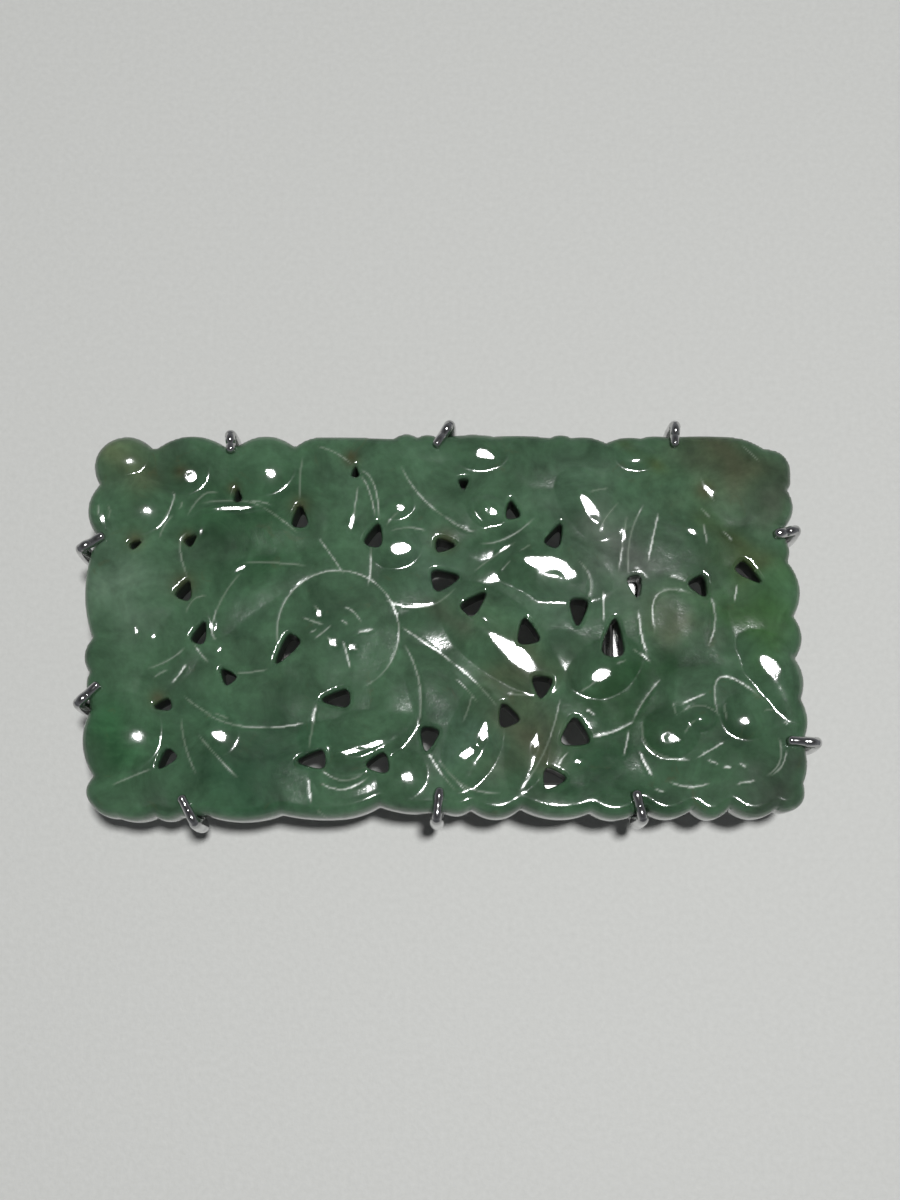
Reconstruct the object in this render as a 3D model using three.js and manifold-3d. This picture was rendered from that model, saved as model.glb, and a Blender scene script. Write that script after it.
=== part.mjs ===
// Jade obi clip: a carved, pierced plaque held by wire claws on a metal mount with two cord loops.
// Millimetres, +Z up, +X along the plaque. It lies carved face up, on the undersides of its cord loops.
import * as THREE from "three";
import { mergeVertices } from "three/addons/utils/BufferGeometryUtils.js";
import Module from "manifold-3d";

// Plaque
const plaqueLength = 56;
const plaqueWidth = 30.5;
const edgeThickness = 2.2;
const carvingDepth = 2;
const rolledEdge = 2;
const edgeDrop = 0.9;
const groundShare = 0.7;
const carvingStep = 0.95;

// Mount
const rimInset = 1.8;
const rimWidth = 1.3;
const rimHeight = 1.2;
const rimCorner = 3;
const crossBarWidth = 2.8;
const crossBarSpacing = 29.2;
const cordHeight = 4.5;
const cordWidth = 12;
const loopWidth = 2.8;
const loopThickness = 1;
const loopCorner = 1.6;

// Claws
const clawWire = 1.1;
const clawTip = 0.7;
const clawBend = 0.45;
const clawOverEdge = 0.3;
const clawClearance = 0.08;
const clawSides = 8;

// Heights, from the ground up
const loopSeat = loopThickness;
const rimFloor = loopSeat + cordHeight;
const plaqueBack = rimFloor + rimHeight;

// Scallops of the outline, clockwise: where each starts, and how far it swells out. 0 is the floor of a notch.
const scallops = [
  [-27.2, 11.1, 0.74], [-26.6, 14.5, 0.7], [-23.1, 14.1, 0], [-22.7, 14.1, 0.95], [-17.3, 14.2, 0],
  [-16.3, 14.3, 0.84], [-11.8, 14.2, 0.16], [-10, 15, 0.04], [-4, 14.9, 0.33], [-2.1, 15, 0.25],
  [-0.5, 15, 0], [0.5, 15.1, 0.16], [3.9, 15.1, 0.14], [8.4, 15, 0.25], [10.1, 15, 0.25],
  [12.9, 14.6, 0.25], [15.6, 15, 0.15], [17.7, 15.1, 0], [18.7, 15.15, 0.1], [23.2, 15.1, 0.15],
  [25.4, 14.2, 0.88], [27.5, 11.7, 0.11], [27.2, 10.8, 0.6], [26.8, 7.7, 0], [27, 6.6, 0.2],
  [27, 5, 0.75], [27.3, 0.6, 0.6], [27.3, -2.7, 0.44], [27.6, -5.9, 0.33], [27.85, -8.7, 0],
  [27.8, -10, 0.2], [27.5, -12.4, 0.74], [25.9, -14.6, 0.03], [25.3, -14.4, 0.68], [21.8, -14.3, 0.74],
  [18.9, -14.4, 0.75], [15, -14.2, 0], [14.6, -14.7, 0.5], [11.2, -14.6, 0.6], [5.9, -14.3, 0.7],
  [2.1, -14.4, 0.27], [0.1, -14.6, 0], [-1.1, -14.6, 0.22], [-4.9, -14.1, 0.13], [-7.5, -15, 0.2],
  [-12.4, -14.7, 0.5], [-18.1, -14.8, 0], [-20.1, -14.9, 0.3], [-22, -14.9, 0.3], [-24.8, -15, 0.31],
  [-26.9, -14, 0.46], [-26.8, -11.9, 0.73], [-27.2, -6.8, 0], [-27.6, -5, 0.08], [-27.4, -3.9, 0.5],
  [-27.3, -1.2, 0.5], [-27.7, 5.4, 0], [-27.2, 6.9, 0.8],
];

// Pierced openings: middle, half length, half width, and the way the point of the drop faces, in degrees.
const piercings = [
  [-16.2, 10.1, 0.55, 0.31, 95], [-24, 6.2, 0.55, 0.31, 30], [-19.7, 6.5, 0.55, 0.39, 45],
  [-11.3, 8.4, 0.93, 0.62, 90], [-7, 12, 0.47, 0.31, 90], [-5.4, 6.9, 1.01, 0.7, 75],
  [1.5, 11, 0.47, 0.39, 270], [5.3, 9, 0.78, 0.55, 100], [8.7, 6.9, 1.09, 0.62, 65],
  [0.1, 6.1, 0.78, 0.55, 0], [0.1, 3.4, 1.09, 0.86, 10], [2.4, 1.5, 1.17, 0.7, 45],
  [6.4, -0.7, 1.09, 0.86, 100], [10.4, 0.8, 1.09, 0.7, 265], [14.9, 2.8, 0.93, 0.55, 280],
  [13.1, -1.2, 1.56, 0.86, 85], [19.9, 2.8, 0.86, 0.7, 300], [23.8, 3.9, 1.17, 0.55, 320],
  [-20.1, 2.5, 0.78, 0.62, 70], [-18.8, -0.8, 0.93, 0.55, 70], [-16.7, -4.2, 0.7, 0.55, 130],
  [-21.6, -6.5, 0.7, 0.47, 190], [-21.2, -10.7, 0.86, 0.55, 230], [-12.2, -2.2, 1.32, 0.62, 235],
  [-8.3, -6, 1.09, 0.7, 185], [-10.1, -10.7, 1.09, 0.7, 185], [-5.1, -11, 0.86, 0.78, 190],
  [-1.2, -9.1, 0.93, 0.7, 260], [4.8, -7.2, 0.93, 0.78, 110], [7.5, -5.1, 0.86, 0.78, 265],
  [10, -8.5, 1.09, 1.09, 92], [8.4, -12.1, 0.86, 0.78, 0],
];

// Round carved forms. Each kind has the power of its domes, 1 for a plain dome and less for a flatter top, and
// rows of middle, half length, half width, turn in degrees, and height as a share of the carving's depth.
const roundForms = {
  berries: {
    power: 1,
    rows: [
      [-25.6, 13.2, 2.3, 1.9, 0, 0.95], [-24.3, 9.3, 2.9, 2.5, 0, 1], [-27.2, 8.8, 1.2, 2, 0, 0.85],
    ],
  },
  lobes: {
    power: 1,
    rows: [
      [-20.5, 12.2, 2.1, 2.1, 0, 0.95], [-14.3, 12.5, 2.6, 2.5, 0, 0.95], [2.8, 13.7, 2.3, 1.6, 0, 0.92],
      [3.4, 8.9, 1.6, 1.2, -15, 0.95], [-3.6, 9.2, 1.3, 1, 20, 0.9], [-3.9, 5.9, 2, 1.7, 0, 0.97],
      [-3.2, -11.8, 1.9, 1.9, 0, 0.85], [23.2, -7.3, 2, 1.9, 0, 0.9], [-18, -8.4, 3, 2.3, -35, 0.95],
      [17.1, -8.6, 2.3, 2, 0, 0.93],
    ],
  },
  fruit: {
    power: 0.25,
    rows: [
      [-8.1, -0.8, 4.6, 4.6, 0, 0.92],
    ],
  },
  pear: {
    power: 1,
    rows: [
      [-24.7, -8.6, 3.2, 3.1, 0, 1],
    ],
  },
  lowLobes: {
    power: 0.3,
    rows: [
      [-18, 13, 1.7, 1.9, 0, 0.8], [-9.9, 10.7, 1.7, 4.1, 0, 0.8], [-2.3, 13.7, 3.4, 1.4, 0, 0.8],
      [23.3, 11, 4.7, 3.9, -25, 0.85], [23.9, 6.3, 3.3, 2, 10, 0.8], [25.1, 0.7, 3.3, 3.6, 0, 0.88],
      [21.1, -0.1, 1.4, 3.3, 5, 0.8], [-24.6, 2.3, 3.9, 4.2, 0, 0.9], [-25.5, -3.9, 2.8, 2.6, 0, 0.84],
      [-24.3, -13.7, 3.6, 2.2, 0, 0.85], [-7.1, -14.2, 3.7, 1.4, 0, 0.8], [2.7, -14, 3.4, 1.2, 0, 0.8],
      [7.6, -13.6, 2.8, 1.7, 0, 0.8], [12, -11.7, 3.7, 3.4, 0, 0.87], [20.8, -14.2, 4.2, 1.4, 0, 0.8],
      [25.2, -13.2, 2.6, 2.2, -30, 0.84], [16.5, -13.9, 3, 1.4, 0, 0.8], [-1.1, -0.6, 2.8, 1.9, 0, 0.8],
      [-3.9, -6.4, 1.7, 3.6, 0, 0.8], [9.7, -6.6, 2.5, 2.2, 0, 0.82], [-0.3, 8, 2.6, 2.2, 0, 0.78],
      [8.9, -2.3, 2.2, 1.7, 0, 0.8], [15.1, -0.1, 1.7, 3.6, 0, 0.8], [-3.4, 2.4, 2.3, 2, 0, 0.78],
    ],
  },
  buds: {
    power: 0.6,
    rows: [
      [15.2, 13.2, 1.6, 1, 0, 0.85], [-18.6, 0.7, 0.9, 1.9, 20, 0.82], [19.6, -7.5, 1.1, 0.9, 0, 0.95],
    ],
  },
  petals: {
    power: 0.35,
    rows: [
      [18.9, -5.4, 3.6, 2, 10, 0.84], [22.8, -5.7, 1.9, 1.9, 0, 0.88], [23.4, -10, 3, 2.2, 20, 0.86],
      [18.6, -12, 4.4, 1.9, 0, 0.84],
    ],
  },
};

// Leaves bent along a midrib, in rows of the midrib's start, a point that it passes and its end, then half
// width, height share, and how far the crest leans to the left of the way along.
const bentLeaves = {
  crested: {
    power: 1,
    rows: [
      [-20.5, 4.4, -17, 7.1, -9.8, 5.5, 2.3, 1, 0.6],
      [-17.5, -1.8, -16.1, 2.1, -9.9, 4.4, 2.1, 0.92, 0.5], [4.4, 3.1, 7.9, 4.4, 12.5, 1.8, 2.8, 1, 0.3],
      [9.2, 12, 11.1, 9.6, 13.2, 6, 1.9, 1, 0], [-0.6, 2.1, 3.9, -0.9, 8.7, -5.6, 2.8, 1, 0.05],
      [1.7, -5.3, 2.3, -8.9, 0.1, -12.9, 2.1, 0.97, 0.3],
      [4.9, -6.1, 6.4, -9.2, 4.9, -13.2, 1.7, 0.92, 0.35],
      [-9.9, -7.7, -7.1, -9.4, -2.8, -6.7, 2.3, 0.97, -0.45],
      [9.9, -5.6, 12.3, -3.7, 15.2, -2.3, 2.1, 0.95, 0.1], [22.6, -2, 25, -3.1, 27.1, -7.8, 2, 1, 0],
    ],
  },
  flat: {
    power: 0.3,
    rows: [
      [-9.6, 14.5, -7.8, 9.6, -5.8, 1.3, 2, 0.84, 0.3],
      [-19, -1.5, -20.9, -3.2, -23.4, -5.6, 1.7, 0.82, 0],
      [-18.2, -5.4, -14.2, -5.6, -9.3, -7.3, 2.2, 0.84, 0],
      [-20.3, -5.9, -16.6, -10.6, -9.8, -14.4, 3.9, 0.9, 0.1],
      [-5.8, 13.8, -2.1, 11, 3, 7.3, 2.3, 0.82, 0], [1.7, 5.7, 4.8, 6.3, 7.6, 8.6, 1.2, 0.85, 0],
      [2.2, 3.1, 4.7, 4.7, 7.1, 6.3, 1.1, 0.82, 0], [5, 11.7, 9.1, 13.2, 13.7, 13, 2.6, 0.86, 0],
      [15.4, 11.5, 13.2, 7.1, 12.2, 1.6, 1.9, 0.87, 0],
      [-3.3, -0.9, -0.9, -5.4, 1.8, -10.9, 2.2, 0.84, 0], [7.9, -5.4, 8.9, -9, 6.4, -13.5, 1.2, 0.84, 0],
      [-10, -11.7, -7.4, -13, -4.7, -11.7, 0.9, 0.82, 0],
      [16.9, -2, 15.9, -6.6, 14.4, -12.7, 2, 0.84, 0], [16, -2.6, 18, 2.3, 19.9, -2.3, 2, 0.9, 0],
    ],
  },
  fan: {
    power: 0.8,
    rows: [
      [16.2, 12.7, 18.3, 7.8, 19.3, 2.4, 3.7, 0.94, 0],
    ],
  },
};

// Claws: the notch each one stands in, which way it faces in degrees, and how far its tip lies over the face.
const claws = {
  claw_top_left: [-16.8, 14.25, 93, 0.6],
  claw_top_middle: [0, 15.05, 58, 1.1],
  claw_top_right: [18.2, 15.1, 87, 0.9],
  claw_right_upper: [26.9, 7.15, 12, 0.9],
  claw_right_lower: [27.8, -9.35, -4, 1.4],
  claw_bottom_right: [14.8, -14.5, -76, 1.2],
  claw_bottom_middle: [-0.5, -14.6, -96, 1.5],
  claw_bottom_left: [-19.1, -14.9, -61, 1.4],
  claw_left_lower: [-27.4, -5.9, -137, 1.2],
  claw_left_upper: [-27.5, 6.15, -150, 1],
};

const jade = new THREE.MeshStandardMaterial({ color: 0x4f7d5c, roughness: 0.2, metalness: 0 });
const whiteMetal = new THREE.MeshStandardMaterial({ color: 0xb9bcbd, roughness: 0.25, metalness: 1 });

const wasm = await Module();
wasm.setup();

// A closed geometry as a solid for cutting, with its shared vertices merged.
function solidOf(geometry) {
  const bare = geometry.clone();
  bare.deleteAttribute("normal");
  bare.deleteAttribute("uv");
  const merged = mergeVertices(bare, 1e-4);
  const vertProperties = merged.attributes.position.array;
  const triVerts = new Uint32Array(merged.index.array);
  return new wasm.Manifold(new wasm.Mesh({ numProp: 3, vertProperties, triVerts }));
}

function geometryOf(solid) {
  const { vertProperties, triVerts } = solid.getMesh();
  const geometry = new THREE.BufferGeometry();
  geometry.setAttribute("position", new THREE.BufferAttribute(vertProperties, 3));
  geometry.setIndex(new THREE.BufferAttribute(triVerts, 1));
  geometry.computeVertexNormals();
  return geometry;
}

// Points along the scalloped edge: each scallop is a shallow parabola on the chord to the next one's start.
function drawnOutline() {
  const stepLength = 0.8;
  return scallops.flatMap(([x, y, swell], i) => {
    const [nextX, nextY] = scallops[(i + 1) % scallops.length];
    const chord = Math.hypot(nextX - x, nextY - y);
    const steps = swell === 0 ? 1 : Math.max(2, Math.round(chord / stepLength));
    return Array.from({ length: steps }, (_, step) => {
      const share = step / steps;
      const out = (4 * swell * share * (1 - share)) / chord;
      return new THREE.Vector2(
        x + (nextX - x) * share - (nextY - y) * out,
        y + (nextY - y) * share + (nextX - x) * out,
      );
    });
  });
}

// The drawing is moved and stretched so that its edge takes the plaque's own length and width.
const drawn = drawnOutline();
const drawnBox = new THREE.Box2().setFromPoints(drawn);
const drawnMiddle = drawnBox.getCenter(new THREE.Vector2());
const drawnSize = drawnBox.getSize(new THREE.Vector2());
const along = plaqueLength / drawnSize.x;
const across = plaqueWidth / drawnSize.y;

function placed(x, y) {
  return new THREE.Vector2((x - drawnMiddle.x) * along, (y - drawnMiddle.y) * across);
}

const outline = drawn.map((p) => placed(p.x, p.y));

function edgeDistance(x, y) {
  return outline.reduce((least, a, i) => {
    const b = outline[(i + 1) % outline.length];
    const [dx, dy] = [b.x - a.x, b.y - a.y];
    const share = ((x - a.x) * dx + (y - a.y) * dy) / (dx * dx + dy * dy);
    const held = Math.min(1, Math.max(0, share));
    return Math.min(least, Math.hypot(x - a.x - dx * held, y - a.y - dy * held));
  }, Infinity);
}

// How far in from the edge a point lies, below zero outside it.
function depthInside(x, y) {
  const inside = outline.reduce((odd, a, i) => {
    const b = outline[(i + 1) % outline.length];
    const crosses = a.y > y !== b.y > y && x < a.x + ((y - a.y) * (b.x - a.x)) / (b.y - a.y);
    return crosses ? !odd : odd;
  }, false);
  return inside ? edgeDistance(x, y) : -edgeDistance(x, y);
}

// Height share of a dome at the given shares of its half length and half width. A leaning crest stretches one
// side of it and shortens the other.
function domeShare(u, v, power, lean) {
  const leant = (v - lean) / (v > lean ? 1 - lean : 1 + lean);
  return Math.max(0, 1 - u * u - leant * leant) ** power;
}

function roundShare(x, y, [midX, midY, halfLength, halfWidth, turn, height], power) {
  const angle = THREE.MathUtils.degToRad(turn);
  const [dx, dy] = [x - midX, y - midY];
  const u = (dx * Math.cos(angle) + dy * Math.sin(angle)) / halfLength;
  const v = (dy * Math.cos(angle) - dx * Math.sin(angle)) / halfWidth;
  return groundShare + (height - groundShare) * domeShare(u, v, power, 0);
}

// Points along the midrib, a curve that starts and ends at the outer points and passes through the middle one.
function midribPoints([startX, startY, viaX, viaY, endX, endY]) {
  const start = new THREE.Vector2(startX, startY);
  const via = new THREE.Vector2(viaX, viaY);
  const end = new THREE.Vector2(endX, endY);
  const pull = via.clone().multiplyScalar(2).addScaledVector(start, -0.5).addScaledVector(end, -0.5);
  return new THREE.QuadraticBezierCurve(start, pull, end).getPoints(8);
}

// A leaf is highest along its crest and falls away to both sides of it and to both ends of the midrib.
function leafShare(x, y, { midrib, halfWidth, height, lean, power }) {
  const nearest = { away: Infinity, side: 1, share: 0 };
  for (let i = 0; i < midrib.length - 1; i++) {
    const [a, b] = [midrib[i], midrib[i + 1]];
    const [dx, dy] = [b.x - a.x, b.y - a.y];
    const held = Math.min(1, Math.max(0, ((x - a.x) * dx + (y - a.y) * dy) / (dx * dx + dy * dy)));
    const away = Math.hypot(x - a.x - dx * held, y - a.y - dy * held);
    if (away < nearest.away) {
      nearest.away = away;
      nearest.side = Math.sign(dx * (y - a.y) - dy * (x - a.x));
      nearest.share = (i + held) / (midrib.length - 1);
    }
  }
  const v = (nearest.side * nearest.away) / halfWidth;
  return groundShare + (height - groundShare) * domeShare(2 * nearest.share - 1, v, power, lean);
}

const carvedRounds = Object.values(roundForms).flatMap(({ power, rows }) =>
  rows.map((row) => ({ row, power })),
);
const carvedLeaves = Object.values(bentLeaves).flatMap(({ power, rows }) =>
  rows.map((row) => {
    const [halfWidth, height, lean] = row.slice(6);
    return { midrib: midribPoints(row), halfWidth, height, lean, power };
  }),
);

// Height of the carving as a share of its depth: the tallest of the forms over a point, or the ground between.
function reliefShare(x, y) {
  const [drawnX, drawnY] = [x / along + drawnMiddle.x, y / across + drawnMiddle.y];
  return Math.max(
    groundShare,
    ...carvedRounds.map(({ row, power }) => roundShare(drawnX, drawnY, row, power)),
    ...carvedLeaves.map((leaf) => leafShare(drawnX, drawnY, leaf)),
  );
}

function faceHeight(x, y) {
  const rolled = 1 - Math.min(1, Math.max(0, depthInside(x, y)) / rolledEdge);
  return plaqueBack + edgeThickness + carvingDepth * reliefShare(x, y) - edgeDrop * rolled ** 2;
}

const gridColumns = Math.round(plaqueLength / carvingStep) + 2;
const gridRows = Math.round(plaqueWidth / carvingStep) + 2;
const gridLeft = (-gridColumns * carvingStep) / 2;
const gridFront = (-gridRows * carvingStep) / 2;

// Face heights at the corners of a square grid that covers the plaque.
const gridHeights = Array.from({ length: gridRows + 1 }, (_, row) =>
  Array.from({ length: gridColumns + 1 }, (_, column) =>
    faceHeight(gridLeft + column * carvingStep, gridFront + row * carvingStep),
  ),
);

// Height of the faceted face: each grid square is two triangles, split from its near left to its far right.
function facetHeight(x, y) {
  const column = Math.min(gridColumns - 1, Math.max(0, Math.floor((x - gridLeft) / carvingStep)));
  const row = Math.min(gridRows - 1, Math.max(0, Math.floor((y - gridFront) / carvingStep)));
  const u = (x - gridLeft) / carvingStep - column;
  const v = (y - gridFront) / carvingStep - row;
  const near = gridHeights[row];
  const far = gridHeights[row + 1];
  return u > v
    ? near[column] + (near[column + 1] - near[column]) * u + (far[column + 1] - near[column + 1]) * v
    : near[column] + (far[column + 1] - far[column]) * u + (far[column] - near[column]) * v;
}

// A block whose top is the carved face, wider and deeper than the plaque is.
function carvedBlock() {
  const floor = plaqueBack - edgeThickness;
  const columns = gridColumns + 1;
  const corners = [];
  gridHeights.forEach((heights, row) =>
    heights.forEach((height, column) =>
      corners.push(gridLeft + column * carvingStep, gridFront + row * carvingStep, height),
    ),
  );
  const topCount = corners.length / 3;
  const triangles = [];
  for (let row = 0; row < gridRows; row++)
    for (let column = 0; column < gridColumns; column++) {
      const a = row * columns + column;
      const b = a + columns;
      triangles.push(a, a + 1, b + 1, a, b + 1, b);
    }
  const rimIndices = [
    ...Array.from({ length: gridColumns }, (_, i) => i),
    ...Array.from({ length: gridRows }, (_, i) => i * columns + gridColumns),
    ...Array.from({ length: gridColumns }, (_, i) => gridRows * columns + gridColumns - i),
    ...Array.from({ length: gridRows }, (_, i) => (gridRows - i) * columns),
  ];
  rimIndices.forEach((index) => corners.push(corners[3 * index], corners[3 * index + 1], floor));
  const middle = corners.length / 3;
  corners.push(0, 0, floor);
  rimIndices.forEach((top, i) => {
    const next = (i + 1) % rimIndices.length;
    triangles.push(top, topCount + i, topCount + next, top, topCount + next, rimIndices[next]);
    triangles.push(topCount + next, topCount + i, middle);
  });
  const block = new THREE.BufferGeometry();
  block.setAttribute("position", new THREE.Float32BufferAttribute(corners, 3));
  block.setIndex(triangles);
  return block;
}

// A drop with three soft corners, its point to the given side.
function piercingPath([midX, midY, halfLength, halfWidth, pointing]) {
  const sides = 9;
  const dropPoint = 0.25;
  const fullWidth = 1.085;
  const angle = THREE.MathUtils.degToRad(pointing);
  const middle = placed(midX, midY);
  return new THREE.Path(
    Array.from({ length: sides }, (_, i) => {
      const round = (2 * Math.PI * i) / sides;
      const u = halfLength * (Math.cos(round) + dropPoint * (Math.cos(2 * round) - 1));
      const v = (halfWidth * (Math.sin(round) - dropPoint * Math.sin(2 * round))) / fullWidth;
      return new THREE.Vector2(
        middle.x + u * Math.cos(angle) - v * Math.sin(angle),
        middle.y + u * Math.sin(angle) + v * Math.cos(angle),
      );
    }),
  );
}

function makePlaque() {
  const shape = new THREE.Shape(outline);
  shape.holes = piercings.map(piercingPath);
  const depth = edgeThickness + 2 * carvingDepth;
  const blank = new THREE.ExtrudeGeometry(shape, { depth, bevelEnabled: false });
  blank.translate(0, 0, plaqueBack);
  return geometryOf(solidOf(blank).intersect(solidOf(carvedBlock())));
}

// The rim's outer faces, in from the plaque's edge.
const rimHalfLength = plaqueLength / 2 - rimInset;
const rimHalfWidth = plaqueWidth / 2 - rimInset;

function roundedRectangle(path, halfLength, halfWidth, corner) {
  path.moveTo(halfLength, corner - halfWidth);
  path.lineTo(halfLength, halfWidth - corner);
  path.absarc(halfLength - corner, halfWidth - corner, corner, 0, Math.PI / 2);
  path.lineTo(corner - halfLength, halfWidth);
  path.absarc(corner - halfLength, halfWidth - corner, corner, Math.PI / 2, Math.PI);
  path.lineTo(-halfLength, corner - halfWidth);
  path.absarc(corner - halfLength, corner - halfWidth, corner, Math.PI, 1.5 * Math.PI);
  path.lineTo(halfLength - corner, -halfWidth);
  path.absarc(halfLength - corner, corner - halfWidth, corner, 1.5 * Math.PI, 2 * Math.PI);
  return path;
}

function makeRim() {
  const outer = roundedRectangle(new THREE.Shape(), rimHalfLength, rimHalfWidth, rimCorner);
  const innerCorner = Math.max(0.2, rimCorner - rimWidth);
  outer.holes = [
    roundedRectangle(new THREE.Path(), rimHalfLength - rimWidth, rimHalfWidth - rimWidth, innerCorner),
  ];
  const rim = new THREE.ExtrudeGeometry(outer, { depth: rimHeight, bevelEnabled: false, curveSegments: 6 });
  return rim.translate(0, 0, rimFloor);
}

function makeCrossBar() {
  const bar = new THREE.BoxGeometry(crossBarWidth, 2 * (rimHalfWidth - rimWidth), rimHeight);
  return bar.translate(0, 0, rimFloor + rimHeight / 2);
}

// A strap bent into a flat-bottomed U, drawn in the plane across the clip and as wide as the loop.
function makeCordLoop() {
  const inside = cordWidth / 2;
  const outside = inside + loopThickness;
  const insideCorner = Math.max(0.1, loopCorner - loopThickness);
  const strap = new THREE.Shape();
  strap.moveTo(outside, rimFloor);
  strap.lineTo(inside, rimFloor);
  strap.lineTo(inside, loopSeat + insideCorner);
  strap.absarc(inside - insideCorner, loopSeat + insideCorner, insideCorner, 0, -Math.PI / 2, true);
  strap.lineTo(insideCorner - inside, loopSeat);
  strap.absarc(insideCorner - inside, loopSeat + insideCorner, insideCorner, -Math.PI / 2, -Math.PI, true);
  strap.lineTo(-inside, rimFloor);
  strap.lineTo(-outside, rimFloor);
  strap.lineTo(-outside, loopCorner);
  strap.absarc(loopCorner - outside, loopCorner, loopCorner, Math.PI, 1.5 * Math.PI);
  strap.lineTo(outside - loopCorner, 0);
  strap.absarc(outside - loopCorner, loopCorner, loopCorner, 1.5 * Math.PI, 2 * Math.PI);
  const loop = new THREE.ExtrudeGeometry(strap, { depth: loopWidth, bevelEnabled: false, curveSegments: 5 });
  loop.translate(0, 0, -loopWidth / 2);
  const [toWidth, toHeight, toLength] = [
    new THREE.Vector3(0, 1, 0),
    new THREE.Vector3(0, 0, 1),
    new THREE.Vector3(1, 0, 0),
  ];
  return loop.applyMatrix4(new THREE.Matrix4().makeBasis(toWidth, toHeight, toLength));
}

// How far out from the notch the middle of the wire has to stand for the wire to clear the stone.
function clawStandOff(notch, facing) {
  const needed = clawWire / 2 + clawClearance;
  const step = 0.02;
  let out = 0;
  while (-depthInside(notch.x + facing.x * out, notch.y + facing.y * out) < needed) out += step;
  return out;
}

// Lowest height for the middle of a wire of the given radius that clears the face round a point.
function clearHeight(x, y, radius) {
  const rings = [0, 0.5, 0.8, 1];
  const spokes = 12;
  const reach = radius + clawClearance;
  return Math.max(
    ...rings.flatMap((ring) =>
      Array.from({ length: spokes }, (_, i) => {
        const angle = (2 * Math.PI * i) / spokes;
        const px = x + ring * reach * Math.cos(angle);
        const py = y + ring * reach * Math.sin(angle);
        const overStone = depthInside(px, py) > -clawClearance;
        return overStone ? facetHeight(px, py) + reach * Math.sqrt(1 - 0.9 * ring * ring) : -Infinity;
      }),
    ),
  );
}

// A bent wire: out from the rim under the stone, up its edge and over on to the face, tapering to a round tip.
function makeClaw([notchX, notchY, facingDegrees, reach]) {
  const notch = placed(notchX, notchY);
  const angle = THREE.MathUtils.degToRad(facingDegrees);
  const facing = new THREE.Vector2(Math.cos(angle), Math.sin(angle));
  const fromSide = rimHalfLength - Math.abs(notch.x) < rimHalfWidth - Math.abs(notch.y);
  const toRim = fromSide
    ? (Math.abs(notch.x) - rimHalfLength) / Math.abs(facing.x)
    : (Math.abs(notch.y) - rimHalfWidth) / Math.abs(facing.y);
  const standOff = clawStandOff(notch, facing);
  const wireFloor = rimFloor + rimHeight / 2;
  const radius = clawWire / 2;
  const tipRadius = clawTip / 2;
  const at = (out) => notch.clone().addScaledVector(facing, out);
  const heightOver = (out, wire) => clearHeight(at(out).x, at(out).y, wire);
  const overEdge = Math.max(...[standOff / 2, 0, -clawOverEdge].map((out) => heightOver(out, radius)));
  const corner = clawBend * (1 - Math.SQRT1_2);
  const elbows = [
    [-toRim, wireFloor],
    [standOff - clawBend, wireFloor],
    [standOff - corner, wireFloor + corner],
    [standOff, wireFloor + clawBend],
    [standOff, (wireFloor + overEdge) / 2],
    [standOff, overEdge - clawBend],
    [standOff - corner, overEdge - corner],
    [standOff - clawBend, overEdge],
  ];
  const overSteps = 3;
  for (let step = 1; step <= overSteps; step++) {
    const share = step / overSteps;
    const out = (standOff - clawBend) * (1 - share) - reach * share;
    const wire = radius + (tipRadius - radius) * share;
    elbows.push([out, Math.max(heightOver(out, wire), heightOver(out + clawOverEdge / 2, wire))]);
  }
  const bends = elbows.map(([out, height]) => new THREE.Vector3(at(out).x, at(out).y, height));
  const bentSteps = overSteps + 1;
  const radii = bends.map((_, i) => {
    const share = Math.max(0, i - (bends.length - bentSteps)) / overSteps;
    return radius + (tipRadius - radius) * share;
  });
  return wireGeometry(bends, radii, fromSide, facing);
}

// Rings of vertices round each point of a wire bent in one upright plane, closed flat at the rim and round at
// the tip.
function wireGeometry(bends, radii, fromSide, facing) {
  const sideways = new THREE.Vector3(-facing.y, facing.x, 0);
  const rings = [];
  const addRing = (centre, direction, radius) => {
    const upright = new THREE.Vector3().crossVectors(direction, sideways);
    rings.push(
      Array.from({ length: clawSides }, (_, i) => {
        const round = (2 * Math.PI * (i + 0.5)) / clawSides;
        return centre
          .clone()
          .addScaledVector(sideways, radius * Math.cos(round))
          .addScaledVector(upright, radius * Math.sin(round));
      }),
    );
  };
  bends.forEach((centre, i) => {
    const before = bends[Math.max(0, i - 1)];
    const after = bends[Math.min(bends.length - 1, i + 1)];
    addRing(centre, after.clone().sub(before).normalize(), radii[i]);
  });
  const end = bends.at(-1);
  const endDirection = end.clone().sub(bends.at(-2)).normalize();
  const endRadius = radii.at(-1);
  addRing(end.clone().addScaledVector(endDirection, 0.6 * endRadius), endDirection, 0.75 * endRadius);
  const tip = end.clone().addScaledVector(endDirection, 0.95 * endRadius);
  // The wire's first ring slides along the wire on to the rim's flat outer face.
  const foot = bends[0];
  rings[0].forEach((p) => {
    const off = fromSide ? (foot.x - p.x) / facing.x : (foot.y - p.y) / facing.y;
    p.x += facing.x * off;
    p.y += facing.y * off;
  });
  const corners = rings.flat();
  const tipIndex = corners.push(tip) - 1;
  const footIndex = corners.push(foot.clone()) - 1;
  const triangles = [];
  for (let i = 0; i < clawSides; i++) {
    const next = (i + 1) % clawSides;
    for (let ring = 0; ring < rings.length - 1; ring++) {
      const near = ring * clawSides;
      const far = near + clawSides;
      triangles.push(near + i, far + next, far + i, near + i, near + next, far + next);
    }
    const last = (rings.length - 1) * clawSides;
    triangles.push(last + i, last + next, tipIndex, next, i, footIndex);
  }
  const wire = new THREE.BufferGeometry().setFromPoints(corners);
  wire.setIndex(triangles);
  wire.computeVertexNormals();
  return wire;
}

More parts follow.
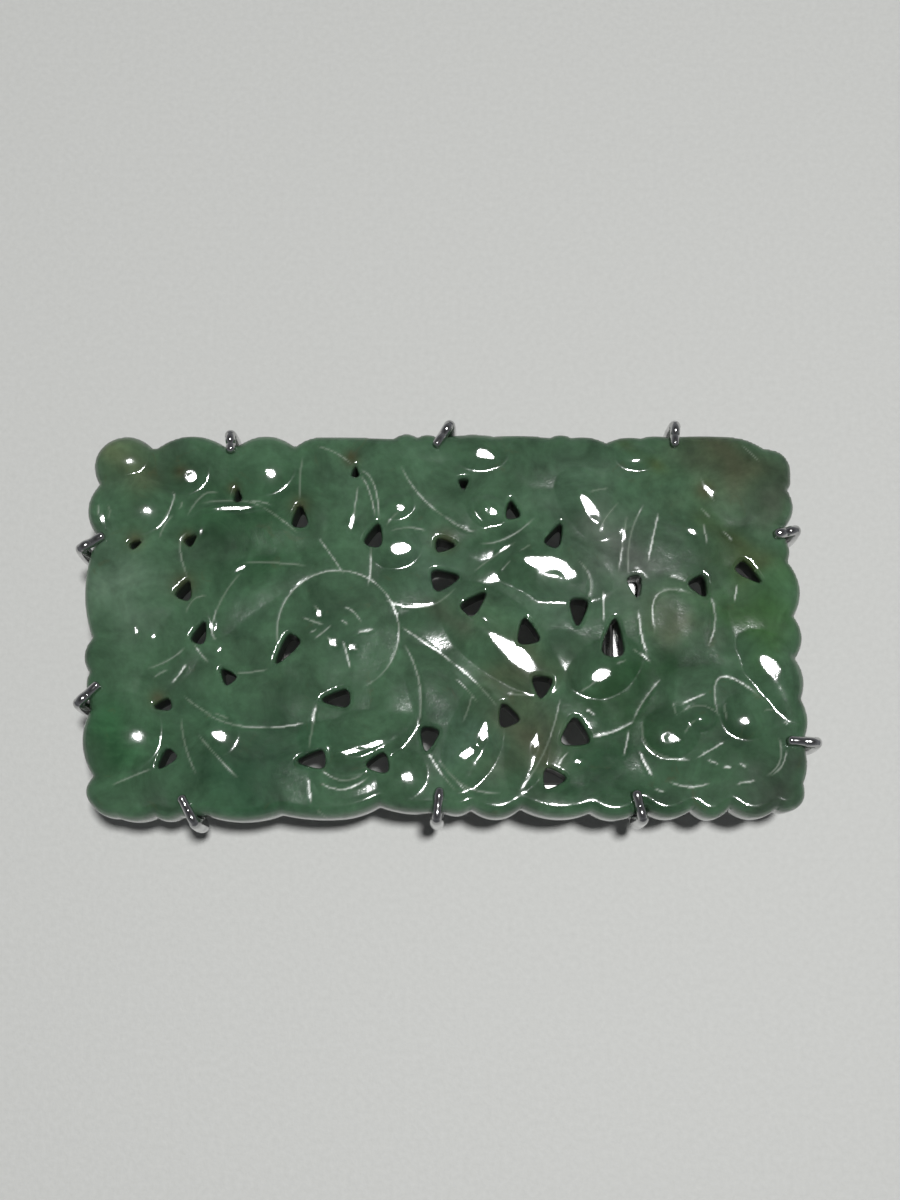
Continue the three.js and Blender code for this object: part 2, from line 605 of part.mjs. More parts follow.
function addPiece(group, name, geometry, material) {
  const piece = new THREE.Mesh(geometry, material);
  piece.name = name;
  group.add(piece);
  return piece;
}

const clip = new THREE.Group();
addPiece(clip, "jade_plaque", makePlaque(), jade);
addPiece(clip, "mount_rim", makeRim(), whiteMetal);
for (const [side, place] of [["left", -crossBarSpacing / 2], ["right", crossBarSpacing / 2]]) {
  addPiece(clip, "cross_bar_" + side, makeCrossBar(), whiteMetal).position.x = place;
  addPiece(clip, "cord_loop_" + side, makeCordLoop(), whiteMetal).position.x = place;
}
for (const [name, claw] of Object.entries(claws)) addPiece(clip, name, makeClaw(claw), whiteMetal);

// The origin is on the ground under the middle of the clip's box, claws included.
const clipMiddle = new THREE.Box3().setFromObject(clip).getCenter(new THREE.Vector3());
clip.position.set(-clipMiddle.x, -clipMiddle.y, 0);

export default clip;
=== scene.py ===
import math
import bmesh
import bpy
import numpy as np
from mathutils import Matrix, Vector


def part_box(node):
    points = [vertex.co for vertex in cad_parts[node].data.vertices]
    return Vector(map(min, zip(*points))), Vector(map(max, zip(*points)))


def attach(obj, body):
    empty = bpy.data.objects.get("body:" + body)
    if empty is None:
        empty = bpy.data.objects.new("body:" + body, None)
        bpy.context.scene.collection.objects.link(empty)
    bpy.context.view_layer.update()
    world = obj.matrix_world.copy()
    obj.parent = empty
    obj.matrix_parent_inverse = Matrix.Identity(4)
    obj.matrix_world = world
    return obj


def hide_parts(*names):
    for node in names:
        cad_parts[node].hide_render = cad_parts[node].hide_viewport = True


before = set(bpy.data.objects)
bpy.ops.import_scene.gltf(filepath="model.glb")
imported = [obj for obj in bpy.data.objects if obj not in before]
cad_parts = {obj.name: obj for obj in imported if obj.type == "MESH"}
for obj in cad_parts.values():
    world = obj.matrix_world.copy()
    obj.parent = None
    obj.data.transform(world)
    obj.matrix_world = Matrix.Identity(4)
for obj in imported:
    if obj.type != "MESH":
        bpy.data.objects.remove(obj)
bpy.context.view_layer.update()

# A jade obi clip: a carved, pierced plaque in ten bent wire claws, on a metal mount with two cord loops.
# Shapes are worked out in millimetres on the plaque, from its middle, and put down in metres.

millimetre = 0.001


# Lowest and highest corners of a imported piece, in millimetres.
def boxInMillimetres(node):
    low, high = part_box(node)
    return np.array(low) / millimetre, np.array(high) / millimetre


plaqueLow, plaqueHigh = boxInMillimetres("jade_plaque")
rimLow, rimHigh = boxInMillimetres("mount_rim")
plaqueMiddle = (plaqueLow + plaqueHigh)[:2] / 2
plaqueLength, plaqueWidth = (plaqueHigh - plaqueLow)[:2]
plaqueBack = plaqueLow[2]

# Camera: the photograph's angle, nearly straight down on the carved face.

view = {
    "pictureWidth": 900,
    "pictureHeight": 1200,
    "focalPixels": 1732,
    "tiltDegrees": 11.2,
    "distance": 134.9,              # mm, from the lens to the point aimed at
    "aimFromMiddle": (0.45, 1.84),  # mm, the point looked at, from the plaque's middle
    "aimHeight": 9.4,               # mm above the ground
    "carvedHeight": 10.5,           # mm above the ground
    "sensor": 36.0,
    "nearest": 0.01,                # metres, what is closer isn't drawn
}


# A camera on a line tilted from straight up towards the lower edge, at the set distance from its aim.
def makeCamera():
    tilt = math.radians(view["tiltDegrees"])
    camera = bpy.data.objects.new("camera", bpy.data.cameras.new("camera"))
    camera.data.sensor_width = view["sensor"]
    camera.data.lens = view["sensor"] * view["focalPixels"] / view["pictureHeight"]
    camera.data.clip_start = view["nearest"]
    aim = np.append(plaqueMiddle + np.array(view["aimFromMiddle"]), view["aimHeight"])
    away = np.array([0, -math.sin(tilt), math.cos(tilt)])
    camera.location = (aim + view["distance"] * away) * millimetre
    camera.rotation_euler = (tilt, 0, 0)
    bpy.context.scene.collection.objects.link(camera)
    bpy.context.scene.camera = camera


# A point of the photograph on the carved face: the ray through the pixel meets a level plane at the face's
# height.
def fromPhoto(points):
    points = np.asarray(points, float)
    tilt = math.radians(view["tiltDegrees"])
    down = (view["pictureHeight"] / 2 - points[..., 1]) / view["focalPixels"]
    side = (points[..., 0] - view["pictureWidth"] / 2) / view["focalPixels"]
    drop = view["distance"] * math.cos(tilt) + view["aimHeight"] - view["carvedHeight"]
    reach = drop / (math.cos(tilt) - down * math.sin(tilt))
    far = reach * (math.sin(tilt) + down * math.cos(tilt)) - view["distance"] * math.sin(tilt)
    return np.stack([side * reach, far], axis=-1) + np.array(view["aimFromMiddle"])


makeCamera()
print("camera ready")

# Outline and piercings of the plaque, laid out at 56 by 30.5 mm and fitted to the plaque's box.

plaque = {
    "edgeThickness": 2.2,
    "carvingDepth": 2.0,
    "groundShare": 0.7,     # height of the ground between the forms, as a share of the carving's depth
    "softening": 0.08,      # spread of the last polish, which rounds the creases between forms
    "waveHeight": 0.0007,   # of the hand polish, as a share of each wave's length
    "waveLengths": (5.2, 3.7, 2.6, 1.9),
    "wavesOfEach": 3,
    "lowerSweep": 0.003,    # the right half curls up towards its lower edge, in mm per square mm
    "sweepFrom": -0.5,
    "sweepDrop": 60,        # square mm, times the sweep how far the right half lies lower
    "sweepBlend": 3,        # width of the change between the halves
    "rightFall": 0.00045,   # fall towards the right edge, in mm per square mm
    "rolledEdge": 0.9,      # radius of the rounding along the outline
    "openingRounding": 0.22,
    "dropPinch": 0.18,      # how far an opening's round is drawn into a drop
    "dropSwell": 1.7,       # how much wider the drop grows by that
    "wall": [(0.04, 0.75), (0.06, 0.5), (0.04, 0.2), (0, 0)],   # bulge in mm, at a share of the wall's height
    "backChamfer": 0.25,
    "chamferRows": [(0.4, 0.6), (1, 1)],                        # steps in and down, as shares of the chamfer
    "sawnAndShadedReach": 0.4,       # distance from an opening within which a wall is left sawn and unpolished, and darkened with painted shade
    "lineDullness": 0.4,    # of an incised line, 1 for an opening's wall
    "gridStep": 0.14,
    "gridMargin": 1.8,      # the grid reaches out under the claws
    "edgeReach": 3.0,       # how far from the outline and from an opening the depths are worked out
    "openingReach": 2.0,
}

# Scallops, clockwise: where each starts and how far it swells out. 0 is the floor of a claw's notch.
scallops = [
    [-27.2, 11.1, 0.74], [-26.6, 14.5, 0.7], [-23.1, 14.1, 0], [-22.7, 14.1, 0.95], [-17.3, 14.2, 0],
    [-16.3, 14.3, 0.84], [-11.8, 14.2, 0.16], [-10, 15, 0.04], [-4, 14.9, 0.33], [-2.1, 15, 0.25],
    [-0.5, 15, 0], [0.5, 15.1, 0.16], [3.9, 15.1, 0.14], [8.4, 15, 0.25], [10.1, 15, 0.25],
    [12.9, 14.6, 0.25], [15.6, 15, 0.15], [17.7, 15.1, 0], [18.7, 15.15, 0.1], [23.2, 15.1, 0.15],
    [25.4, 14.2, 0.88], [27.5, 11.7, 0.11], [27.2, 10.8, 0.6], [26.8, 7.7, 0], [27, 6.6, 0.2], [27, 5, 0.75],
    [27.3, 0.6, 0.6], [27.3, -2.7, 0.44], [27.6, -5.9, 0.33], [27.85, -8.7, 0], [27.8, -10, 0.2],
    [27.5, -12.4, 0.74], [25.9, -14.6, 0.03], [25.3, -14.4, 0.68], [21.8, -14.3, 0.74], [18.9, -14.4, 0.75],
    [15, -14.2, 0], [14.6, -14.7, 0.5], [11.2, -14.6, 0.6], [5.9, -14.3, 0.7], [2.1, -14.4, 0.27],
    [0.1, -14.6, 0], [-1.1, -14.6, 0.22], [-4.9, -14.1, 0.13], [-7.5, -15, 0.2], [-12.4, -14.7, 0.5],
    [-18.1, -14.8, 0], [-20.1, -14.9, 0.3], [-22, -14.9, 0.3], [-24.8, -15, 0.31], [-26.9, -14, 0.46],
    [-26.8, -11.9, 0.73], [-27.2, -6.8, 0], [-27.6, -5, 0.08], [-27.4, -3.9, 0.5], [-27.3, -1.2, 0.5],
    [-27.7, 5.4, 0], [-27.2, 6.9, 0.8],
]

# Openings: middle, half length, half width, and the way the point of the drop faces, in degrees.
piercings = [
    [-16.2, 10.1, 0.55, 0.31, 95], [-24, 6.2, 0.55, 0.31, 30], [-19.7, 6.5, 0.55, 0.39, 45],
    [-11.3, 8.4, 0.93, 0.62, 90], [-7, 12, 0.47, 0.31, 90], [-5.4, 6.9, 1.01, 0.7, 75],
    [1.5, 11, 0.47, 0.39, 270], [5.3, 9, 0.78, 0.55, 100], [8.7, 6.9, 1.09, 0.62, 65],
    [0.1, 6.1, 0.78, 0.55, 0], [0.1, 3.4, 1.09, 0.86, 10], [2.4, 1.5, 1.17, 0.7, 45],
    [6.4, -0.7, 1.09, 0.86, 100], [10.4, 0.8, 1.09, 0.7, 265], [14.9, 2.8, 0.93, 0.55, 280],
    [13.1, -1.2, 1.56, 0.86, 85], [19.9, 2.8, 0.86, 0.7, 300], [23.8, 3.9, 1.17, 0.55, 320],
    [-20.1, 2.5, 0.78, 0.62, 70], [-18.8, -0.8, 0.93, 0.55, 70], [-16.7, -4.2, 0.7, 0.55, 130],
    [-21.6, -6.5, 0.7, 0.47, 190], [-21.2, -10.7, 0.86, 0.55, 230], [-12.2, -2.2, 1.32, 0.62, 235],
    [-8.3, -6, 1.09, 0.7, 185], [-10.1, -10.7, 1.09, 0.7, 185], [-5.1, -11, 0.86, 0.78, 190],
    [-1.2, -9.1, 0.93, 0.7, 260], [4.8, -7.2, 0.93, 0.78, 110], [7.5, -5.1, 0.86, 0.78, 265],
    [10, -8.5, 1.09, 1.09, 92], [8.4, -12.1, 0.86, 0.78, 0],
]

# Round carved forms. Each kind has the power of its domes, 1 for a plain dome and less for a flatter top with
# steeper sides, and rows of middle, half length, half width, turn in degrees, and height as a share of the
# carving's depth.
roundForms = {
    "berries": (1, [
        [-25.6, 13.2, 2.3, 1.9, 0, 0.95], [-24.3, 9.3, 2.9, 2.5, 0, 1], [-27.2, 8.8, 1.2, 2, 0, 0.85],
    ]),
    "lobes": (1, [
        [-20.5, 12.2, 2.1, 2.1, 0, 0.95], [-14.3, 12.5, 2.6, 2.5, 0, 0.95], [2.8, 13.7, 2.3, 1.6, 0, 0.92],
        [3.4, 8.9, 1.6, 1.2, -15, 0.95], [-3.6, 9.2, 1.3, 1, 20, 0.9], [-3.9, 5.9, 2, 1.7, 0, 0.97],
        [-3.2, -11.8, 1.9, 1.9, 0, 0.85], [23.2, -7.3, 2, 1.9, 0, 0.9], [-18, -8.4, 3, 2.3, -35, 0.95],
        [17.1, -8.6, 2.3, 2, 0, 0.93],
    ]),
    "fruit": (1.2, [[-8.1, -0.8, 4.6, 4.6, 0, 0.74]]),
    "pear": (1, [[-24.7, -8.6, 3.2, 3.1, 0, 1]]),
    "lowLobes": (1.2, [
        [-18, 13, 1.7, 1.9, 0, 0.74], [-9.9, 10.7, 1.7, 4.1, 0, 0.74], [-2.3, 13.7, 3.4, 1.4, 0, 0.74],
        [23.3, 11, 4.7, 3.9, -25, 0.77], [23.9, 6.3, 3.3, 2, 10, 0.74], [25.1, 0.7, 3.3, 3.6, 0, 0.78],
        [21.1, -0.1, 1.4, 3.3, 5, 0.72], [-24.6, 2.3, 3.9, 4.2, 0, 0.79], [-25.5, -3.9, 2.8, 2.6, 0, 0.76],
        [-24.3, -13.7, 3.6, 2.2, 0, 0.77], [-7.1, -14.2, 3.7, 1.4, 0, 0.74], [2.7, -14, 3.4, 1.2, 0, 0.74],
        [7.6, -13.6, 2.8, 1.7, 0, 0.74], [12, -11.7, 3.7, 3.4, 0, 0.71], [20.8, -14.2, 4.2, 1.4, 0, 0.71],
        [25.2, -13.2, 2.6, 2.2, -30, 0.71], [16.5, -13.9, 3, 1.4, 0, 0.71], [-1.1, -0.6, 2.8, 1.9, 0, 0.74],
        [-3.9, -6.4, 1.7, 3.6, 0, 0.74], [9.7, -6.6, 2.5, 2.2, 0, 0.75], [-0.3, 8, 2.6, 2.2, 0, 0.74],
        [8.9, -2.3, 2.2, 1.7, 0, 0.74], [15.1, -0.1, 1.7, 3.6, 0, 0.74], [-3.4, 2.4, 2.3, 2, 0, 0.74],
    ]),
    "buds": (0.6, [
        [15.2, 13.2, 1.6, 1, 0, 0.85], [-18.6, 0.7, 0.9, 1.9, 20, 0.82], [19.6, -7.5, 1.1, 0.9, 0, 0.95],
    ]),
    "petals": (1.2, [
        [18.9, -5.4, 3.6, 2, 10, 0.72], [22.8, -5.7, 1.9, 1.9, 0, 0.74], [23.4, -10, 3, 2.2, 20, 0.72],
        [18.6, -12, 4.4, 1.9, 0, 0.71],
    ]),
}

# Leaves bent along a midrib. Each kind has the power of its domes and rows of the midrib's start, a point
# that it passes and its end, half width, height share, and the crest's lean to the left of the way along.
bentLeaves = {
    "crested": (1, [
        [4.4, 3.1, 7.9, 4.4, 12.5, 1.8, 2.8, 1, 0.3], [9.2, 12, 11.1, 9.6, 13.2, 6, 1.9, 1, 0],
        [-0.6, 2.1, 3.9, -0.9, 8.7, -5.6, 2.8, 1, 0.05], [1.7, -5.3, 2.3, -8.9, 0.1, -12.9, 2.1, 0.97, 0.3],
        [4.9, -6.1, 6.4, -9.2, 4.9, -13.2, 1.7, 0.92, 0.35],
        [-9.9, -7.7, -7.1, -9.4, -2.8, -6.7, 2.3, 0.97, -0.45],
        [9.9, -5.6, 12.3, -3.7, 15.2, -2.3, 2.1, 0.95, 0.1], [22.6, -2, 25, -3.1, 27.1, -7.8, 2, 1, 0],
    ]),
    "flat": (1.2, [
        [-20.5, 4.4, -17, 7.1, -9.8, 5.5, 2.3, 0.84, 0.6],
        [-17.5, -1.8, -16.1, 2.1, -9.9, 4.4, 2.1, 0.76, 0], [-9.6, 14.5, -7.8, 9.6, -5.8, 1.3, 2, 0.76, 0.3],
        [-19, -1.5, -20.9, -3.2, -23.4, -5.6, 1.7, 0.75, 0],
        [-18.2, -5.4, -14.2, -5.6, -9.3, -7.3, 2.2, 0.76, 0],
        [-20.3, -5.9, -16.6, -10.6, -9.8, -14.4, 3.9, 0.79, 0.1],
        [-5.8, 13.8, -2.1, 11, 3, 7.3, 2.3, 0.75, 0], [1.7, 5.7, 4.8, 6.3, 7.6, 8.6, 1.2, 0.77, 0],
        [2.2, 3.1, 4.7, 4.7, 7.1, 6.3, 1.1, 0.75, 0], [5, 11.7, 9.1, 13.2, 13.7, 13, 2.6, 0.77, 0],
        [15.4, 11.5, 13.2, 7.1, 12.2, 1.6, 1.9, 0.78, 0], [-3.3, -0.9, -0.9, -5.4, 1.8, -10.9, 2.2, 0.76, 0],
        [7.9, -5.4, 8.9, -9, 6.4, -13.5, 1.2, 0.76, 0], [-10, -11.7, -7.4, -13, -4.7, -11.7, 0.9, 0.75, 0],
        [16.9, -2, 15.9, -6.6, 14.4, -12.7, 2, 0.76, 0], [16, -2.6, 18, 2.3, 19.9, -2.3, 2, 0.73, 0],
    ]),
    "fan": (1.2, [[16.2, 12.7, 18.3, 7.8, 19.3, 2.4, 3.7, 0.77, 0]]),
}

# Incised lines, each from one end through a middle point to the other, in pixels of the photograph. A leaf's
# edge has one number more: the ground falls away on its left for 1 and on its right for -1.
incisedLines = {
    "leafEdges": [
        [172, 491, 172, 503, 157, 529, 1], [217, 492, 202, 495, 187, 515, -1],
        [203, 502, 238, 500, 262, 506, 1], [262, 506, 281, 519, 297, 532, 1],
        [186, 533, 180, 548, 187, 577, -1], [319, 538, 334, 559, 343, 573, 1],
        [361, 470, 374, 484, 379, 518, 1], [240, 573, 222, 598, 211, 627, -1],
        [245, 562, 270, 562, 305, 565, 1], [401, 466, 420, 495, 445, 516, 1],
        [445, 516, 460, 526, 474, 531, 1], [481, 543, 508, 537, 534, 517, -1],
        [475, 570, 492, 557, 515, 542, 1], [386, 600, 425, 606, 455, 588, -1],
        [402, 627, 428, 644, 455, 664, -1], [455, 664, 476, 682, 497, 706, -1],
        [405, 645, 420, 685, 418, 725, -1], [440, 760, 465, 786, 500, 793, -1],
        [578, 560, 590, 578, 588, 598, 1], [600, 531, 605, 519, 618, 502, -1],
        [627, 516, 623, 543, 619, 570, -1], [644, 504, 631, 535, 629, 572, 1],
        [656, 632, 658, 594, 692, 592, 1], [712, 597, 716, 620, 710, 643, 1],
        [661, 679, 645, 699, 634, 719, -1], [643, 722, 652, 750, 690, 760, -1],
        [719, 715, 722, 676, 766, 700, -1], [321, 783, 345, 789, 368, 777, -1],
        [182, 719, 185, 745, 196, 774, -1], [780, 738, 781, 760, 768, 775, 1],
    ],
    "stems": [
        [358, 486, 355, 506, 351, 530], [211, 627, 213, 636, 216, 639], [186, 611, 194, 599, 206, 596],
        [428, 752, 440, 771, 455, 790], [659, 512, 654, 535, 649, 560], [639, 610, 642, 634, 647, 652],
        [592, 737, 615, 731, 634, 721], [184, 696, 198, 707, 212, 715], [199, 735, 215, 754, 237, 777],
        [205, 713, 235, 725, 270, 727], [270, 727, 285, 726, 303, 723], [322, 770, 341, 780, 362, 775],
        [316, 705, 312, 729, 309, 748], [112, 785, 130, 777, 150, 769], [184, 648, 168, 660, 148, 668],
    ],
    "veins": [
        [172, 515, 164, 525, 159, 537], [182, 501, 181, 505, 179, 508], [250, 500, 260, 501, 270, 504],
        [302, 458, 300, 478, 300, 498], [318, 446, 335, 452, 352, 464], [361, 476, 369, 490, 375, 515],
        [371, 545, 371, 565, 368, 585], [236, 673, 250, 672, 267, 669], [193, 641, 198, 650, 208, 662],
        [167, 670, 160, 673, 154, 677], [186, 664, 180, 673, 172, 682], [387, 524, 392, 517, 399, 512],
        [391, 531, 408, 527, 425, 530], [520, 551, 525, 548, 530, 545], [502, 570, 506, 565, 510, 561],
        [456, 679, 468, 690, 477, 702], [472, 694, 469, 706, 463, 722], [455, 780, 461, 786, 468, 792],
        [508, 693, 519, 694, 531, 695], [590, 492, 599, 489, 608, 487], [702, 477, 708, 489, 716, 500],
        [702, 507, 706, 511, 711, 516], [704, 522, 706, 532, 708, 542], [724, 530, 729, 534, 733, 539],
        [744, 444, 752, 451, 760, 459], [636, 566, 642, 571, 649, 577], [670, 575, 679, 577, 687, 580],
        [738, 584, 737, 592, 736, 600], [603, 590, 604, 605, 604, 620], [633, 648, 642, 654, 651, 661],
        [617, 663, 621, 662, 626, 660], [581, 691, 588, 687, 595, 682], [587, 709, 591, 712, 595, 715],
        [629, 731, 627, 743, 624, 755], [640, 752, 646, 766, 653, 776], [655, 789, 660, 791, 664, 792],
        [670, 782, 690, 787, 710, 783], [737, 784, 746, 782, 755, 781], [683, 703, 694, 698, 706, 693],
        [681, 712, 702, 705, 721, 715], [674, 702, 675, 708, 677, 715], [726, 702, 726, 710, 727, 719],
        [765, 710, 770, 709, 775, 709], [785, 721, 787, 722, 789, 723], [685, 733, 690, 725, 696, 720],
        [697, 758, 714, 748, 724, 742], [708, 760, 714, 762, 719, 764], [724, 767, 728, 767, 731, 768],
        [740, 763, 743, 765, 746, 767], [787, 751, 783, 765, 772, 775], [215, 714, 222, 716, 228, 719],
        [308, 778, 310, 792, 311, 803], [317, 810, 322, 814, 327, 819], [557, 767, 562, 759, 568, 752],
        [560, 700, 545, 750, 520, 790], [98, 505, 99, 510, 98, 515], [108, 506, 110, 512, 108, 519],
    ],
    "calyx": [
        [314, 605, 318, 610, 320, 616], [303, 617, 313, 621, 323, 624], [310, 632, 313, 631, 316, 629],
        [315, 638, 323, 632, 331, 625], [327, 636, 332, 642, 337, 646], [341, 620, 345, 622, 348, 624],
        [345, 607, 354, 612, 361, 622], [358, 632, 366, 631, 373, 629], [349, 644, 354, 648, 359, 650],
        [343, 641, 347, 654, 350, 668],
    ],
}
fruitRing = {"middle": (338, 631), "radius": 61, "from": -62, "to": 208}  # pixels and degrees

# Half width and depth of each kind of line, and how far the ground beside it falls, in mm.
incisedCuts = {
    "leafEdges": (0.1, 0.02, 0.02),
    "stems": (0.1, 0.015, 0),
    "veins": (0.09, 0.012, 0),
    "calyx": (0.1, 0.015, 0),
    "fruitRing": (0.1, 0.018, 0),
}
lineShape = {
    "reach": 4,             # half widths over which a cut is worked out
    "endShare": 0.25,       # depth at a line's two ends
    "fadeRate": 6,          # how fast it grows to the full depth, over the line's length
    "paleShare": 0.6,       # width of the pale streak in a cut
    "bankReach": 0.8,       # how far the ground beside a leaf's edge takes to rise again, in mm
    "bankSpan": 3,          # times that reach, how far the bank is worked out
    "bankStep": 0.1,        # width of the step down from the leaf, in mm
    "bankFadeRate": 5,
}

# Flats left by the polishing stone along the crests: middle, half length and half width in the photograph's
# pixels, and turn in degrees.
polishedFlats = {
    "leafCrests": [
        [232, 508, 26, 4.5, 2], [197, 536, 10, 4, 45], [240, 568, 8, 4, 25], [217, 737, 9, 4.5, -30],
        [375, 744, 10, 4, 25], [350, 752, 14, 3.5, 5], [328, 751, 7, 3.5, -75], [352, 521, 10, 3.5, 85],
        [403, 548, 12, 8, 0], [487, 454, 12, 5.5, -30], [588, 504, 16, 7, -52], [540, 563, 22, 8, -13],
        [569, 572, 11, 6.5, -30], [478, 621, 12, 4, -15], [486, 632, 12, 5.5, -45], [505, 646, 26, 7.5, -38],
        [505, 548, 9, 3.5, 33], [478, 516, 10, 3.5, -50], [484, 731, 13, 5, 80], [466, 754, 11, 5.5, 20],
        [536, 740, 10, 3.5, 80], [710, 489, 9, 3.5, -60], [623, 533, 10, 3.5, 80], [693, 530, 6, 4.5, -20],
        [602, 676, 12, 6.5, 22], [772, 664, 15, 8, -40],
    ],
    "knobs": [
        [192, 479, 7, 5, 35], [270, 473, 7, 4.5, -35], [402, 509, 6, 4, 30], [494, 512, 6, 5, -40],
        [404, 776, 4.5, 3.5, 0], [612, 655, 5, 4, 0], [675, 739, 9, 4.5, -10], [748, 722, 4, 3.5, 0],
        [136, 630, 5, 3.5, -60], [153, 636, 4, 3.5, 0], [219, 649, 4, 3.5, 0], [578, 761, 3.5, 3.5, 0],
        [319, 613, 6, 3.5, -55], [333, 642, 6, 4, -45], [352, 647, 5, 3.5, 0],
    ],
}
flatShape = {
    "smallest": 3.4,        # least half length and half width, in pixels
    "lower": (4.95, 0.212),     # lean towards the lower edge, in degrees and degrees per mm of place
    "right": (3.0, -0.21),      # lean towards the right edge, likewise
    "whole": 0.72,          # where the flat starts to blend into the face, and where it ends, as shares
    "ended": 1.52,          # of its half length and half width
    "crown": 0.01,          # fall at its rim, as a share of its half width
}


# Points along the scalloped edge: each scallop is a shallow parabola on the chord to the next one's start.
def outlinePoints(pieceLength=0.25):
    corners = np.array(scallops)
    parts = []
    for (x, y, swell), (nextX, nextY, _) in zip(corners, np.roll(corners, -1, axis=0)):
        chord = math.hypot(nextX - x, nextY - y)
        count = max(2, round(chord / pieceLength))
        share = np.arange(count) / count
        out = 4 * swell * share * (1 - share) / chord
        parts.append(np.stack([x + (nextX - x) * share - (nextY - y) * out,
                               y + (nextY - y) * share + (nextX - x) * out], axis=1))
    points = np.concatenate(parts)
    low, high = points.min(axis=0), points.max(axis=0)
    return (points - (low + high) / 2) * np.array([plaqueLength, plaqueWidth]) / (high - low)


# A drop with three soft corners: a circle's x and y with a share of its second harmonic added and taken away.
def piercingPoints(midX, midY, halfLength, halfWidth, pointing, count=30):
    turn = np.linspace(0, 2 * math.pi, count, endpoint=False)
    pinch = plaque["dropPinch"]
    u = halfLength * (np.cos(turn) + pinch * (np.cos(2 * turn) - 1))
    v = halfWidth * (np.sin(turn) - pinch * np.sin(2 * turn)) / (1 + pinch ** 2 * plaque["dropSwell"])
    angle = math.radians(pointing)
    return np.stack([midX + u * math.cos(angle) - v * math.sin(angle),
                     midY + u * math.sin(angle) + v * math.cos(angle)], axis=1)


# Points of the curve that starts and ends at the outer points and passes through the middle one.
def curveThrough(start, middle, end, count=12):
    start, middle, end = (np.asarray(point, float) for point in (start, middle, end))
    pull = 2 * middle - (start + end) / 2
    t = np.linspace(0, 1, count)[:, None]
    return (1 - t) ** 2 * start + 2 * t * (1 - t) * pull + t ** 2 * end


# Every incised line as its kind, its points on the plaque and the side on which the ground falls away.
def incisedChains(ringCount=60):
    chains = []
    for kind, lines in incisedLines.items():
        for line in lines:
            points = fromPhoto(np.reshape(line[:6], (3, 2)))
            chains.append((kind, curveThrough(*points), line[6] if len(line) > 6 else 0))
    angles = np.radians(np.linspace(fruitRing["from"], fruitRing["to"], ringCount))
    ring = np.stack([np.cos(angles), -np.sin(angles)], axis=1) * fruitRing["radius"]
    chains.append(("fruitRing", fromPhoto(np.array(fruitRing["middle"]) + ring), 0))
    return chains


# The square grid that carries the carved face.
gridStep = plaque["gridStep"]
halfSpan = np.array([plaqueLength, plaqueWidth]) / 2 + plaque["gridMargin"]
gridX = np.arange(-halfSpan[0], halfSpan[0], gridStep)
gridY = np.arange(-halfSpan[1], halfSpan[1], gridStep)
squareGrid = np.meshgrid(gridX, gridY)


# The part of the grid within reach of some points, as a pair of slices.
def gridWindow(points, reach):
    low, high = points.min(axis=0) - reach, points.max(axis=0) + reach
    columns = slice(max(0, np.searchsorted(gridX, low[0])), np.searchsorted(gridX, high[0]))
    rows = slice(max(0, np.searchsorted(gridY, low[1])), np.searchsorted(gridY, high[1]))
    return rows, columns


# Measures a grid against a chain of straight pieces: the distance, at most reach; the share of the way along;
# the side, 1 on the chain's left and -1 on its right; and the nearest point's x and y.
def nearChain(grid, points, reach, closed=False):
    shape = grid[0].shape
    distance = np.full(shape, float(reach))
    along, side = np.zeros(shape), np.zeros(shape)
    footX, footY = grid[0].copy(), grid[1].copy()
    ends = np.roll(points, -1, axis=0) if closed else points[1:]
    starts = points if closed else points[:-1]
    for i, (a, b) in enumerate(zip(starts, ends)):
        window = gridWindow(np.array([a, b]), reach + gridStep)
        x, y = grid[0][window] - a[0], grid[1][window] - a[1]
        dx, dy = b - a
        share = np.clip((x * dx + y * dy) / (dx * dx + dy * dy), 0, 1)
        away = np.hypot(x - share * dx, y - share * dy)
        nearer = away < distance[window]
        found = [away, (i + share) / len(starts), np.sign(dx * y - dy * x),
                 a[0] + share * dx, a[1] + share * dy]
        for kept, new in zip((distance, along, side, footX, footY), found):
            kept[window] = np.where(nearer, new, kept[window])
    return distance, along, side, footX, footY


# Inside or outside a closed chain, by counting how often a line to the right crosses it.
def insideChain(points):
    crossings = np.zeros(squareGrid[0].shape, int)
    for a, b in zip(points, np.roll(points, -1, axis=0)):
        low, high = sorted((a[1], b[1]))
        rows = slice(np.searchsorted(gridY, low), np.searchsorted(gridY, high))
        if rows.stop > rows.start:
            crossX = a[0] + (gridY[rows] - a[1]) * (b[0] - a[0]) / (b[1] - a[1])
            crossings[rows] += gridX[None, :] < crossX[:, None]
    return crossings % 2 == 1


# Distance inside a closed chain, below zero outside it, and the nearest point of the chain.
def chainDepth(points, reach):
    distance, _, _, footX, footY = nearChain(squareGrid, points, reach, closed=True)
    return np.where(insideChain(points), distance, -distance), footX, footY


